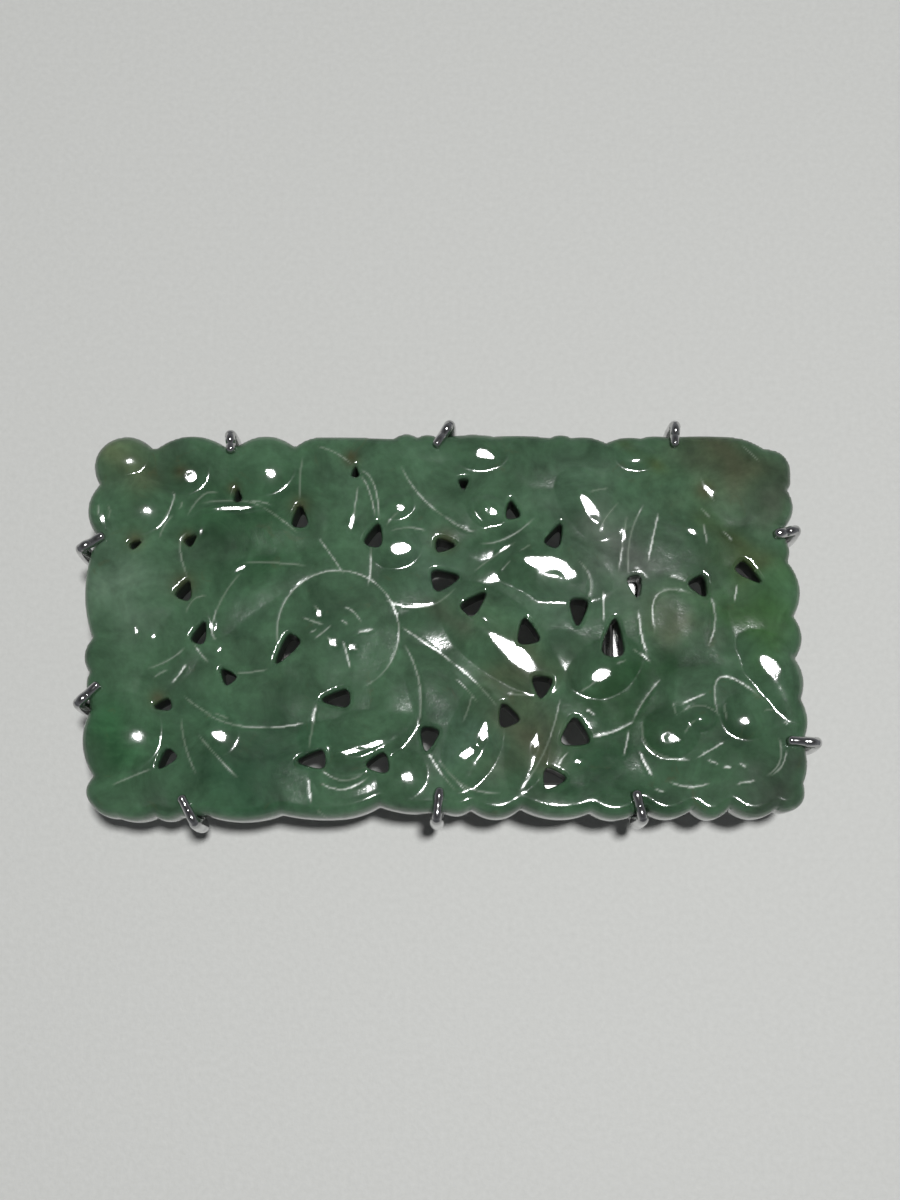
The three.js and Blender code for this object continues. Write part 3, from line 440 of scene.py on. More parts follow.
# Depth in the stone from its outline and from its nearest opening. The grid's points next to a border or an
# incised line are moved on to it, so that borders and lines run smoothly.
def layOutGrid(chains):
    snap = 0.5 * gridStep
    edge, footX, footY = chainDepth(outlinePoints(), plaque["edgeReach"])
    opening = np.full(edge.shape, plaque["openingReach"])
    for row in piercings:
        inside, openingX, openingY = chainDepth(piercingPoints(*row), plaque["openingReach"])
        nearest = -inside < np.minimum(edge, opening)
        footX, footY = np.where(nearest, openingX, footX), np.where(nearest, openingY, footY)
        opening = np.minimum(opening, -inside)
    depth = np.minimum(edge, opening)
    atBorder = np.abs(depth) < snap
    x, y = (np.where(atBorder, foot, regular) for foot, regular in zip((footX, footY), squareGrid))
    edge = np.where(atBorder & (edge < opening), 0, edge)
    opening = np.where(atBorder & (opening < edge), 0, opening)
    gap = np.full(edge.shape, snap)
    for _, chain, _ in chains:
        distance, _, _, lineX, lineY = nearChain(squareGrid, chain, snap)
        nearer = (distance < gap) & (depth > gridStep)
        x, y = np.where(nearer, lineX, x), np.where(nearer, lineY, y)
        gap = np.where(nearer, distance, gap)
    return (x, y), edge, opening, np.where(atBorder, 0, depth), atBorder


lineChains = incisedChains()
faceGrid, edgeDepth, openingDepth, stoneDepth, atBorder = layOutGrid(lineChains)
print("outline, openings and lines laid out")


# Share of a form's height: one less the squares of the places along and across it, to a power. A leaning
# crest stretches one side of the form and shortens the other.
def domeShare(along, across, power, lean=0.0):
    across = (across - lean) / np.where(across > lean, 1 - lean, 1 + lean)
    return np.maximum(0, 1 - along ** 2 - across ** 2) ** power


# Places along and across a turned oval, as shares of its half length and half width.
def ovalPlaces(grid, midX, midY, halfLength, halfWidth, turn):
    angle = math.radians(turn)
    x, y = grid[0] - midX, grid[1] - midY
    return ((x * math.cos(angle) + y * math.sin(angle)) / halfLength,
            (y * math.cos(angle) - x * math.sin(angle)) / halfWidth)


# Tallest of the forms over each point, or the ground between them.
def formHeights(grid):
    ground = plaque["groundShare"]
    tallest = np.full(grid[0].shape, ground)
    for power, forms in roundForms.values():
        for *oval, height in forms:
            dome = domeShare(*ovalPlaces(grid, *oval), power)
            tallest = np.maximum(tallest, ground + (height - ground) * dome)
    for power, leaves in bentLeaves.values():
        for startX, startY, viaX, viaY, endX, endY, halfWidth, height, lean in leaves:
            midrib = curveThrough((startX, startY), (viaX, viaY), (endX, endY))
            distance, along, side, _, _ = nearChain(grid, midrib, 1.01 * halfWidth)
            dome = domeShare(2 * along - 1, side * distance / halfWidth, power, lean)
            tallest = np.maximum(tallest, ground + (height - ground) * dome)
    return tallest


# Softens a grid: each value becomes the bell-weighted mean of its neighbours, along one axis, then the other.
def softened(values, spread, reach=4):
    steps = np.arange(-reach, reach + 1)
    weights = np.exp(-0.5 * (steps * gridStep / spread) ** 2)
    for axis in (0, 1):
        turned = [weight * np.roll(values, step, axis) for step, weight in zip(steps, weights)]
        values = sum(turned) / weights.sum()
    return values


# Depth and paleness of the incised lines. A bell-shaped cut fades out at a line's two ends, and where a line
# edges a leaf, the ground on one side falls to it along a curve that dies away with the distance.
def incise(grid):
    cut, bank, pale = (np.zeros(grid[0].shape) for _ in range(3))
    for kind, chain, fallingSide in lineChains:
        halfWidth, depth, fall = incisedCuts[kind]
        bankReach = lineShape["bankReach"]
        reach = lineShape["bankSpan"] * bankReach if fallingSide else lineShape["reach"] * halfWidth
        distance, along, side, _, _ = nearChain(grid, chain, reach)
        fromEnd = np.minimum(along, 1 - along)
        fade = np.clip(fromEnd * lineShape["fadeRate"] + lineShape["endShare"], 0, 1) * (distance < reach)
        cut = np.maximum(cut, depth * fade * np.exp(-(distance / halfWidth) ** 2))
        pale = np.maximum(pale, fade * np.exp(-(distance / (lineShape["paleShare"] * halfWidth)) ** 2))
        if fallingSide:
            lower = 0.5 + 0.5 * np.tanh(side * fallingSide * distance / lineShape["bankStep"])
            taper = np.clip(fromEnd * lineShape["bankFadeRate"], 0, 1) * (distance < reach)
            bank = np.maximum(bank, fall * taper * lower * np.exp(-distance / bankReach))
    return cut, bank, pale


# Hand-polished waviness: a sum of slow sine waves in turned directions.
def polishWaves(x, y):
    waves = np.zeros(x.shape)
    random = np.random.default_rng(7)
    for length in plaque["waveLengths"]:
        for _ in range(plaque["wavesOfEach"]):
            angle, phase = random.uniform(0, 2 * math.pi, 2)
            along = x * math.cos(angle) + y * math.sin(angle)
            waves += length * np.sin(2 * math.pi * along / length + phase)
    return plaque["waveHeight"] * waves


cutDepth, bankDepth, paleness = incise(faceGrid)


# Lays each polished flat over the face: a plane through the face at the flat's middle, with a slight crown,
# blended in over its soft rim.
def withFlats(height):
    x, y = faceGrid
    for row in polishedFlats["leafCrests"] + polishedFlats["knobs"]:
        midX, midY = fromPhoto(row[:2])
        halfSizes = np.maximum(row[2:4], flatShape["smallest"]) * view["distance"] / view["focalPixels"]
        u, v = ovalPlaces(faceGrid, midX, midY, *halfSizes, row[4])
        fromMiddle = np.hypot(u, v)
        share = (flatShape["ended"] - fromMiddle) / (flatShape["ended"] - flatShape["whole"])
        share = np.clip(share, 0, 1)
        share = share * share * (3 - 2 * share)
        nearest = np.unravel_index(np.argmin(fromMiddle), u.shape)
        lower, right = (math.tan(math.radians(lean + perMillimetre * place)) for (lean, perMillimetre), place
                        in ((flatShape["lower"], midY), (flatShape["right"], midX)))
        plane = height[nearest] + lower * (y - y[nearest]) - right * (x - x[nearest])
        plane = plane - flatShape["crown"] * (halfSizes[0] * u * u + halfSizes[1] * v * v)
        height = height + share * (plane - height)
    return height


# Height of the carved face above the ground: the relief on a slowly bent plate, with the flats and lines,
# and a quarter round down at the outline and at each opening.
def faceHeights():
    x, y = faceGrid
    relief = softened(formHeights(faceGrid), plaque["softening"])
    height = plaque["edgeThickness"] + plaque["carvingDepth"] * relief + polishWaves(x, y)
    lift = plaque["lowerSweep"] * (np.maximum(0, plaque["sweepFrom"] - y) ** 2 - plaque["sweepDrop"])
    height += lift / (1 + np.exp(-x / plaque["sweepBlend"])) - plaque["rightFall"] * np.maximum(0, x) ** 2
    height = withFlats(height - bankDepth) - cutDepth
    for distance, radius in ((np.maximum(edgeDepth, 0), plaque["rolledEdge"]),
                             (openingDepth, plaque["openingRounding"])):
        short = 1 - np.clip(distance / radius, 0, 1)
        height -= radius * (1 - np.sqrt(1 - short ** 2))
    return plaqueBack + height


faceHeight = faceHeights()
print("carving worked out")


# Reads a grid of values at any points, by blending its four nearest.
def readGrid(values, x, y):
    u = np.clip((x - gridX[0]) / gridStep, 0, len(gridX) - 1.001)
    v = np.clip((y - gridY[0]) / gridStep, 0, len(gridY) - 1.001)
    i, j = u.astype(int), v.astype(int)
    u, v = u - i, v - j
    near = values[j, i] * (1 - u) + values[j, i + 1] * u
    far = values[j + 1, i] * (1 - u) + values[j + 1, i + 1] * u
    return near * (1 - v) + far * v


# An object from points in millimetres on the plaque, put down in metres, smooth all over.
def meshObject(name, points, faces):
    mesh = bpy.data.meshes.new(name)
    placed = np.array(points, float)
    placed[:, :2] += plaqueMiddle
    mesh.from_pydata((placed * millimetre).tolist(), [], faces)
    mesh.polygons.foreach_set("use_smooth", np.ones(len(mesh.polygons), bool))
    mesh.update()
    piece = bpy.data.objects.new(name, mesh)
    bpy.context.scene.collection.objects.link(piece)
    return piece


# Colours of the stone where it departs from its mid green: middle, reach in mm, colour and strength.
stoneTints = {
    "midGreen": (0.052, 0.108, 0.060),
    "zones": [
        [-25.7, 13.2, 3.5, (0.10, 0.135, 0.07), 0.9], [-25.3, 2.6, 4.5, (0.105, 0.17, 0.115), 0.9],
        [-15.2, 7.4, 6, (0.028, 0.08, 0.036), 0.9], [-14.3, -11.7, 7, (0.026, 0.075, 0.038), 0.9],
        [-25.6, -9.1, 4, (0.032, 0.11, 0.045), 0.8], [9.5, 11.5, 4, (0.065, 0.12, 0.075), 0.7],
        [13.4, 5.1, 4.5, (0.10, 0.12, 0.10), 0.9], [-2.2, 14.1, 4.5, (0.06, 0.12, 0.07), 0.7],
        [18, 0.3, 3, (0.085, 0.10, 0.062), 0.8], [6.2, -9.4, 3.5, (0.08, 0.09, 0.055), 0.9],
        [6, -4.2, 3.5, (0.078, 0.10, 0.055), 0.85], [21.9, 13.1, 4.5, (0.068, 0.074, 0.042), 0.85],
        [26.3, 10.2, 3, (0.06, 0.075, 0.052), 0.8], [22.6, 5.7, 3, (0.042, 0.06, 0.018), 0.85],
        [24.7, 0.9, 4, (0.045, 0.115, 0.034), 0.85], [13.1, -11.8, 5.5, (0.012, 0.046, 0.018), 0.9],
        [13.5, -6.7, 3.5, (0.022, 0.062, 0.024), 0.8], [25.6, -12.7, 3.5, (0.04, 0.055, 0.04), 0.9],
        [20.8, -9.5, 4, (0.03, 0.075, 0.036), 0.8], [1.1, -8.1, 3, (0.072, 0.13, 0.088), 0.7],
        [-1.2, 3.8, 3.5, (0.07, 0.13, 0.085), 0.7], [9.5, 1.5, 3.5, (0.055, 0.10, 0.065), 0.5],
        [16, 13.2, 1.5, (0.07, 0.10, 0.03), 0.6], [15.5, -3.5, 3.5, (0.018, 0.06, 0.022), 0.9],
        [-8.1, -0.8, 3.5, (0.034, 0.075, 0.042), 0.8], [1.5, 0.5, 2.5, (0.075, 0.09, 0.06), 0.6],
        [-14.6, 1.5, 3, (0.032, 0.07, 0.04), 0.6], [-8, 12, 2.5, (0.065, 0.125, 0.075), 0.6],
    ],
    "stains": [             # brown flushes beside some of the openings: middle and reach
        [-24.1, 6.4, 1.0], [-20.2, 2.9, 1.3], [-20, 6.6, 0.8], [-11.3, 9.2, 1.1], [0.1, 6.4, 1.2],
        [-7.3, 13, 0.9], [-21.9, -6, 0.9], [-22.5, 14.7, 1.0], [-20.6, 11.8, 0.9], [20.5, 10.5, 1.2],
        [-16.5, 10.6, 0.7],
    ],
    "stainColour": (0.060, 0.058, 0.026),
    "stainStrength": 0.75,
    "edgePale": (0.115, 0.165, 0.120),   # light that comes through the thin edge
    "edgeStrength": 0.35,
    "edgeReach": 0.3,
    # Waves that warp the zones along x and along y: height in mm, radians per mm along x and y, and phase.
    "warpX": [(0.9, 0, 0.9, 0.4), (0.6, 0.6, 1.7, 0)],
    "warpY": [(0.9, 0.8, 0, 1.1), (0.5, 1.5, -0.7, 0)],
}


# Tint of the stone: the share of each zone's or stain's colour is a bell over the distance from its middle.
# The zones are warped by slow waves, and the edge is paler.
def stoneTint(x, y, edge):
    def tinted(tint, colour, share):
        return tint + (np.array(colour) - tint) * share[..., None]

    def bell(x, y, midX, midY, reach):
        return np.exp(-((x - midX) ** 2 + (y - midY) ** 2) / (0.5 * reach ** 2))

    def warp(waves):
        return sum(height * np.sin(perX * x + perY * y + phase) for height, perX, perY, phase in waves)

    tint = np.ones(x.shape + (3,)) * np.array(stoneTints["midGreen"])
    warpedX, warpedY = x + warp(stoneTints["warpX"]), y + warp(stoneTints["warpY"])
    for midX, midY, reach, colour, strength in stoneTints["zones"]:
        tint = tinted(tint, colour, strength * bell(warpedX, warpedY, midX, midY, reach))
    for row in stoneTints["stains"]:
        tint = tinted(tint, stoneTints["stainColour"], stoneTints["stainStrength"] * bell(x, y, *row))
    fromEdge = np.maximum(edge, 0) / stoneTints["edgeReach"]
    return tinted(tint, stoneTints["edgePale"], stoneTints["edgeStrength"] * np.exp(-fromEdge ** 2))


# Faces of the grid over stone: whole cells, and cells with three corners kept. Its border is the edges that
# one face alone has.
def gridFaces(kept):
    index = np.arange(kept.size).reshape(kept.shape)
    corners = (index[:-1, :-1], index[:-1, 1:], index[1:, 1:], index[1:, :-1])
    cells = np.stack(corners, axis=-1).reshape(-1, 4)
    held = kept.ravel()[cells]
    quads = cells[held.all(axis=1)]
    three = cells[held.sum(axis=1) == 3]
    missing = np.argmin(kept.ravel()[three], axis=1)
    triangles = three[np.arange(len(three))[:, None], (missing[:, None] + np.array([1, 2, 3])) % 4]
    edges = np.concatenate([faces[:, [i, (i + 1) % faces.shape[1]]] for faces in (quads, triangles)
                            for i in range(faces.shape[1])])
    forward = edges[:, 0].astype(np.int64) * kept.size + edges[:, 1]
    backward = edges[:, 1].astype(np.int64) * kept.size + edges[:, 0]
    return quads, triangles, edges[~np.isin(forward, backward)]


# Rings of points that carry a wall down from the border and round the chamfer to the flat back.
def wallRings(x, y, z, outX, outY):
    chamfer = plaque["backChamfer"]
    low = plaqueBack + chamfer
    rows = [(out, low + (z - low) * up) for out, up in plaque["wall"]]
    rows += [(-inward * chamfer, np.full(len(z), low - down * chamfer))
             for inward, down in plaque["chamferRows"]]
    return [np.stack([x + outX * out, y + outY * out, height], axis=1) for out, height in rows]


# The plaque: the grid's faces over stone, walls let down from their borders, and a flat back.
def makePlaque():
    slopeY, slopeX = np.gradient(stoneDepth, gridStep)
    steep = np.maximum(np.hypot(slopeX, slopeY), 1e-6)
    quads, triangles, border = gridFaces(atBorder | (stoneDepth > 0))
    grids = (*faceGrid, faceHeight, -slopeX / steep, -slopeY / steep)
    x, y, z, outX, outY = (values.ravel() for values in grids)
    used = np.unique(np.concatenate([quads.ravel(), triangles.ravel()]))
    rim = np.unique(border)
    number, place = np.full(x.size, -1), np.full(x.size, -1)
    number[used] = np.arange(len(used))
    place[rim] = np.arange(len(rim))
    points = np.stack([x[used], y[used], z[used]], axis=1)
    faces = number[quads].tolist() + number[triangles].tolist()
    above = number[border]
    for ring in wallRings(*(values[rim] for values in (x, y, z, outX, outY))):
        below = len(points) + place[border]
        points = np.concatenate([points, ring])
        faces += np.stack([above[:, 1], above[:, 0], below[:, 0], below[:, 1]], axis=1).tolist()
        above = below
    piece = meshObject("carvedPlaque", points, faces)
    fillBack(piece)
    paintPlaque(piece, points[:, 0], points[:, 1], paleness.ravel()[used])
    return piece


# Fills the flat back inside the lowest borders, the openings left free.
def fillBack(piece):
    shell = bmesh.new()
    shell.from_mesh(piece.data)
    borders = [edge for edge in shell.edges if edge.is_boundary]
    filled = bmesh.ops.triangle_fill(shell, use_beauty=True, use_dissolve=False, edges=borders)
    added = [face for face in filled["geom"] if isinstance(face, bmesh.types.BMFace)]
    for face in added:
        face.smooth = False
        if face.normal.z > 0:
            face.normal_flip()
    loose = sum(not edge.is_manifold for edge in shell.edges)
    print("plaque back:", len(added), "faces,", loose, "open edges")
    shell.to_mesh(piece.data)
    shell.free()


# Gives each point its tint, and the share to which it is incised, darkened with painted shade as an opening's
# wall, and unpolished.
def paintPlaque(piece, x, y, pale):
    tint = stoneTint(x, y, readGrid(edgeDepth, x, y))
    colours = piece.data.color_attributes.new("stoneTint", "FLOAT_COLOR", "POINT")
    colours.data.foreach_set("color", np.append(tint, np.ones((len(x), 1)), axis=1).ravel())
    # The walls of the openings are darkened with painted shade, and left unpolished.
    onWall = (np.arange(len(x)) >= len(pale)) * (readGrid(openingDepth, x, y) < plaque["sawnAndShadedReach"])
    pale = np.append(pale, np.zeros(len(x) - len(pale)))
    dull = np.maximum(onWall, plaque["lineDullness"] * pale)
    for name, values in (("incised", pale), ("openingWallShade", onWall), ("unpolished", dull)):
        piece.data.attributes.new(name, "FLOAT", "POINT").data.foreach_set("value", values)


jadePlaque = makePlaque()
print("plaque made,", len(jadePlaque.data.polygons), "faces")

# Metal pieces: a section carried along a path.

mount = {
    "rimInset": 1.8, "rimWidth": 1.3, "rimCorner": 3.0,
    "crossBarWidth": 2.8, "crossBarSpacing": 29.2,
    "cordWidth": 12.0, "loopWidth": 2.8, "loopThickness": 1.0, "loopCorner": 1.6,
    "softEdge": 0.2,        # rounding of the straps' and bars' edges
    "barFlare": 0.16, "loopFlare": 0.14,    # how much wider they are at their soldered ends
    "flareReach": 0.25,
    "flareSteps": (0, 0.15, 0.35, 0.6),     # places of the sections, from the end of a bar
    "legSteps": (0, 0.15, 0.4),             # and from the top of a loop's leg
    "legEnd": 0.3,          # its last section, above the bend
    "edgePoints": 5, "rimCornerPoints": 13, "loopBendPoints": 9,
}
claw = {
    "wire": 1.1, "overEdge": 0.78, "tip": 0.68,     # thickness at the foot, over the edge and at the tip
    "clearance": 0.08,
    "sides": 20,
    "solder": 0.22, "solderReach": 0.3,             # thickening round the foot, as a share, and its length
    "lowerBend": [(-0.65, 0), (-0.12, 0.15), (0, 0.55)],      # out from the wire's upright part, and up from
    "upperBend": [(0, -0.45), (-0.12, -0.1), (-0.45, 0.04)],  # the rim's middle or the height over the edge
    "tipLength": 0.8,       # of its rounding, as a share of the tip's radius
    "tipRings": 5, "tipTurn": 0.96,                 # rings of the rounding, and its share of a quarter turn
    "spanRings": 5,         # rings between two of the bends' points
    "feelReach": 3, "feelStep": 0.02,               # how far out the stone's edge is looked for
    "edgeInset": 0.3, "tipSlack": 0.15,             # where else the face is felt, over the edge and the tip
    "probeRings": (0.0, 0.5, 0.8, 1.0),             # where the face under the wire is felt, as shares of its
    "probeRound": 0.9,                              # radius, and how far that feeler is rounded off
}

# Each claw: the notch it stands in, which way it faces in degrees, and how far its tip lies over the face.
claws = {
    "claw_top_left": [-16.8, 14.25, 93, 0.6],
    "claw_top_middle": [0, 15.05, 58, 1.1],
    "claw_top_right": [18.2, 15.1, 87, 0.9],
    "claw_right_upper": [26.9, 7.15, 12, 0.9],
    "claw_right_lower": [27.8, -9.35, -4, 1.4],
    "claw_bottom_right": [14.8, -14.5, -76, 1.2],
    "claw_bottom_middle": [-0.5, -14.6, -96, 1.5],
    "claw_bottom_left": [-19.1, -14.9, -61, 1.4],
    "claw_left_lower": [-27.4, -5.9, -137, 1.2],
    "claw_left_upper": [-27.5, 6.15, -150, 1],
}


# Joins rings of points into a tube: each ring to the next, round in a loop or with its two ends filled.
def tubeFaces(ringCount, sides, looped):
    ring = np.arange(ringCount if looped else ringCount - 1)[:, None] * sides
    following = (ring + sides) % (ringCount * sides)
    side = np.arange(sides)[None, :]
    nextSide = (side + 1) % sides
    quads = np.stack([ring + side, ring + nextSide, following + nextSide, following + side], axis=-1)
    faces = quads.reshape(-1, 4).tolist()
    if not looped:
        faces.append(list(range(sides))[::-1])
        faces.append(list(range((ringCount - 1) * sides, ringCount * sides)))
    return faces


# A tube from rings of points, its faces turned outward.
def makeTube(name, rings, looped=False):
    piece = meshObject(name, rings.reshape(-1, 3), tubeFaces(rings.shape[0], rings.shape[1], looped))
    shell = bmesh.new()
    shell.from_mesh(piece.data)
    bmesh.ops.recalc_face_normals(shell, faces=shell.faces)
    shell.to_mesh(piece.data)
    shell.free()
    return piece


# Sweeps a section along a path: its first measure runs along the side vectors, its second along the up ones.
def sweep(name, path, sideways, upright, section, looped=False):
    rings = path[:, None] + section[None, :, :1] * sideways[:, None] + section[None, :, 1:] * upright[:, None]
    return makeTube(name, rings, looped)


# A rectangle with quarter-circle corners, anticlockwise, and the ways out of its points.
def softRectangle(halfLength, halfWidth, corner, cornerPoints):
    quarter = np.linspace(0, math.pi / 2, cornerPoints)
    points, outward = [], []
    for turn, (signX, signY) in enumerate(((1, 1), (-1, 1), (-1, -1), (1, -1))):
        angle = quarter + turn * math.pi / 2
        out = np.stack([np.cos(angle), np.sin(angle)], axis=1)
        points.append(np.array([signX * (halfLength - corner), signY * (halfWidth - corner)]) + corner * out)
        outward.append(out)
    return np.concatenate(points), np.concatenate(outward)


# The section of a strap or bar.
def softSection(width, height):
    return softRectangle(width / 2, height / 2, mount["softEdge"], mount["edgePoints"])[0]


# The rim: a soft rectangle carried round a rectangle with quarter-circle corners.
def makeRim():
    inset = mount["rimInset"] + mount["rimWidth"] / 2
    corner = mount["rimCorner"] - mount["rimWidth"] / 2
    path, outward = softRectangle(plaqueLength / 2 - inset, plaqueWidth / 2 - inset, corner,
                                  mount["rimCornerPoints"])
    path = np.column_stack([path, np.full(len(path), (rimLow[2] + rimHigh[2]) / 2)])
    outward = np.column_stack([outward, np.zeros(len(path))])
    upright = np.tile([0.0, 0.0, 1.0], (len(path), 1))
    section = softSection(mount["rimWidth"], rimHigh[2] - rimLow[2])
    return sweep("mountRim", path, outward, upright, section, True)


# A flat bar across the rim, a little wider at its two soldered ends by a bell over the distance from them.
def makeCrossBar(name, middleX):
    half = plaqueWidth / 2 - mount["rimInset"] - mount["rimWidth"]
    fromEnd = np.array(mount["flareSteps"])
    y = np.concatenate([-half + fromEnd, half - fromEnd[::-1]])
    path = np.stack([np.full(len(y), middleX), y, np.full(len(y), (rimLow[2] + rimHigh[2]) / 2)], axis=1)
    flare = 1 + mount["barFlare"] * np.exp(-((half - np.abs(y)) / mount["flareReach"]) ** 2)
    sideways = np.stack([flare, 0 * y, 0 * y], axis=1)
    upright = np.tile([0.0, 0.0, 1.0], (len(path), 1))
    return sweep(name, path, sideways, upright, softSection(mount["crossBarWidth"], rimHigh[2] - rimLow[2]))


# A strap bent into a flat-bottomed U, hanging from its bar: one leg and its quarter-circle bend, mirrored.
def makeCordLoop(name, middleX):
    thick = mount["loopThickness"]
    half = mount["cordWidth"] / 2 + thick / 2
    corner = mount["loopCorner"] - thick / 2
    quarter = np.linspace(0, math.pi / 2, mount["loopBendPoints"])
    leg = np.append(rimLow[2] - np.array(mount["legSteps"]), corner + thick / 2 + mount["legEnd"])
    right = np.stack([np.full(len(leg), half), leg], axis=1)
    bend = np.stack([half - corner + corner * np.cos(quarter),
                     thick / 2 + corner - corner * np.sin(quarter)], axis=1)
    halfPath = np.concatenate([right, bend])
    halfOutward = np.concatenate([np.tile([1.0, 0.0], (len(leg), 1)),
                                  np.stack([np.cos(quarter), -np.sin(quarter)], axis=1)])
    flip = np.array([-1, 1])
    flat, outward = (np.concatenate([one, (one * flip)[::-1]]) for one in (halfPath, halfOutward))
    flare = 1 + mount["loopFlare"] * np.exp(-((rimLow[2] - flat[:, 1]) / mount["flareReach"]) ** 2)
    lengthwise = np.stack([flare, 0 * flare, 0 * flare], axis=1)
    path, outward = np.insert(flat, 0, middleX, axis=1), np.insert(outward, 0, 0, axis=1)
    return sweep(name, path, lengthwise, outward, softSection(mount["loopWidth"], thick))


# Height that the middle of a wire must keep to clear the face round a point.
def clearHeight(x, y, radius, directions=16):
    reach = radius + claw["clearance"]
    ring = np.repeat(claw["probeRings"], directions)
    angle = np.tile(np.linspace(0, 2 * math.pi, directions, endpoint=False), len(claw["probeRings"]))
    px, py = x + ring * reach * np.cos(angle), y + ring * reach * np.sin(angle)
    over = readGrid(edgeDepth, px, py) > -claw["clearance"]
    heights = readGrid(faceHeight, px, py) + reach * np.sqrt(1 - claw["probeRound"] * ring ** 2)
    return np.max(np.where(over, heights, 0))


# A smooth curve through some points: each span is a cubic that starts and ends along its neighbours' chord.
def smoothThrough(points, steps):
    padded = np.concatenate([[2 * points[0] - points[1]], points, [2 * points[-1] - points[-2]]])
    t = np.linspace(0, 1, steps, endpoint=False)[:, None]
    spans = []
    for p0, p1, p2, p3 in zip(padded, padded[1:], padded[2:], padded[3:]):
        spans.append(0.5 * (2 * p1 + (p2 - p0) * t + (2 * p0 - 5 * p1 + 4 * p2 - p3) * t ** 2
                            + (3 * p1 - p0 - 3 * p2 + p3) * t ** 3))
    return np.concatenate(spans + [points[-1:]])


# The line of a claw's wire, as rows of distance out of the notch, height and radius: out from the rim under
# the stone, up its edge and over on to the face.
def wireLine(notch, facing, toRim, reach):
    radius, topRadius, tipRadius = claw["wire"] / 2, claw["overEdge"] / 2, claw["tip"] / 2
    out = np.arange(0, claw["feelReach"], claw["feelStep"])
    clear = -readGrid(edgeDepth, notch[0] + facing[0] * out, notch[1] + facing[1] * out)
    standOff = out[np.argmax(clear >= radius + claw["clearance"])]
    wireFloor = (rimLow[2] + rimHigh[2]) / 2

    def heightOver(distance, wire):
        return clearHeight(*(notch + facing * distance), wire)

    overEdge = max(heightOver(share, topRadius) for share in (0.5 * standOff, 0, -claw["edgeInset"]))
    elbows = [[-toRim, wireFloor]]
    elbows += [[standOff + across, wireFloor + up] for across, up in claw["lowerBend"]]
    elbows += [[standOff, (wireFloor + overEdge) / 2]]
    elbows += [[standOff + across, overEdge + up] for across, up in claw["upperBend"]]
    wires = [radius] * 5 + [(radius + topRadius) / 2, topRadius, topRadius]
    bendEnd = elbows[-1][0]
    for share in (1 / 3, 2 / 3, 1):
        distance = bendEnd * (1 - share) - reach * share
        wire = topRadius + (tipRadius - topRadius) * share
        higher = max(heightOver(distance, wire), heightOver(distance + claw["tipSlack"], wire))
        elbows.append([distance, higher])
        wires.append(wire)
    return smoothThrough(np.column_stack([elbows, wires]), claw["spanRings"])


# A bent wire: circles square to its line, a thickening at the soldered foot, and a filed round tip.
def makeClaw(name, notchX, notchY, facingDegrees, reach):
    notch = np.array([notchX, notchY])
    facing = np.array([math.cos(math.radians(facingDegrees)), math.sin(math.radians(facingDegrees))])
    half = np.array([plaqueLength, plaqueWidth]) / 2 - mount["rimInset"]
    fromSide = half[0] - abs(notchX) < half[1] - abs(notchY)
    axis = 0 if fromSide else 1
    toRim = (abs(notch[axis]) - half[axis]) / abs(facing[axis])
    curve = wireLine(notch, facing, toRim, reach)
    middle, heights, radii = curve[:, 0], curve[:, 1], curve[:, 2]
    radii = radii * (1 + claw["solder"] * np.exp(-((middle - middle[0]) / claw["solderReach"]) ** 2))
    direction = np.gradient(curve[:, :2], axis=0)
    direction /= np.linalg.norm(direction, axis=1)[:, None]
    cap = np.linspace(0, 1, claw["tipRings"] + 1)[1:] * math.pi / 2 * claw["tipTurn"]
    forward = claw["tipLength"] * radii[-1] * np.sin(cap)
    middle = np.append(middle, middle[-1] + direction[-1, 0] * forward)
    heights = np.append(heights, heights[-1] + direction[-1, 1] * forward)
    radii = np.append(radii, radii[-1] * np.cos(cap))
    direction = np.concatenate([direction, np.tile(direction[-1:], (len(cap), 1))])
    path = np.column_stack([notch[0] + facing[0] * middle, notch[1] + facing[1] * middle, heights])
    sideways = np.tile([-facing[1], facing[0], 0.0], (len(path), 1))
    upright = np.column_stack([-facing[0] * direction[:, 1], -facing[1] * direction[:, 1], direction[:, 0]])
    turn = np.linspace(0, 2 * math.pi, claw["sides"], endpoint=False)[None, :, None]
    circle = np.cos(turn) * sideways[:, None] + np.sin(turn) * upright[:, None]
    rings = path[:, None] + radii[:, None, None] * circle
    slide = (path[0, axis] - rings[0, :, axis]) / facing[axis]     # the foot is cut flat along the rim
    rings[0, :, 0] += facing[0] * slide
    rings[0, :, 1] += facing[1] * slide
    return makeTube(name, rings)


metalPieces = {"mount_rim": makeRim()}
for side, middleX in (("left", -mount["crossBarSpacing"] / 2), ("right", mount["crossBarSpacing"] / 2)):
    metalPieces["cross_bar_" + side] = makeCrossBar("crossBar_" + side, middleX)
    metalPieces["cord_loop_" + side] = makeCordLoop("cordLoop_" + side, middleX)
clawPieces = {name: makeClaw(name.replace("claw_", "bentClaw_"), *row) for name, row in claws.items()}
print("mount and claws made")

# Materials

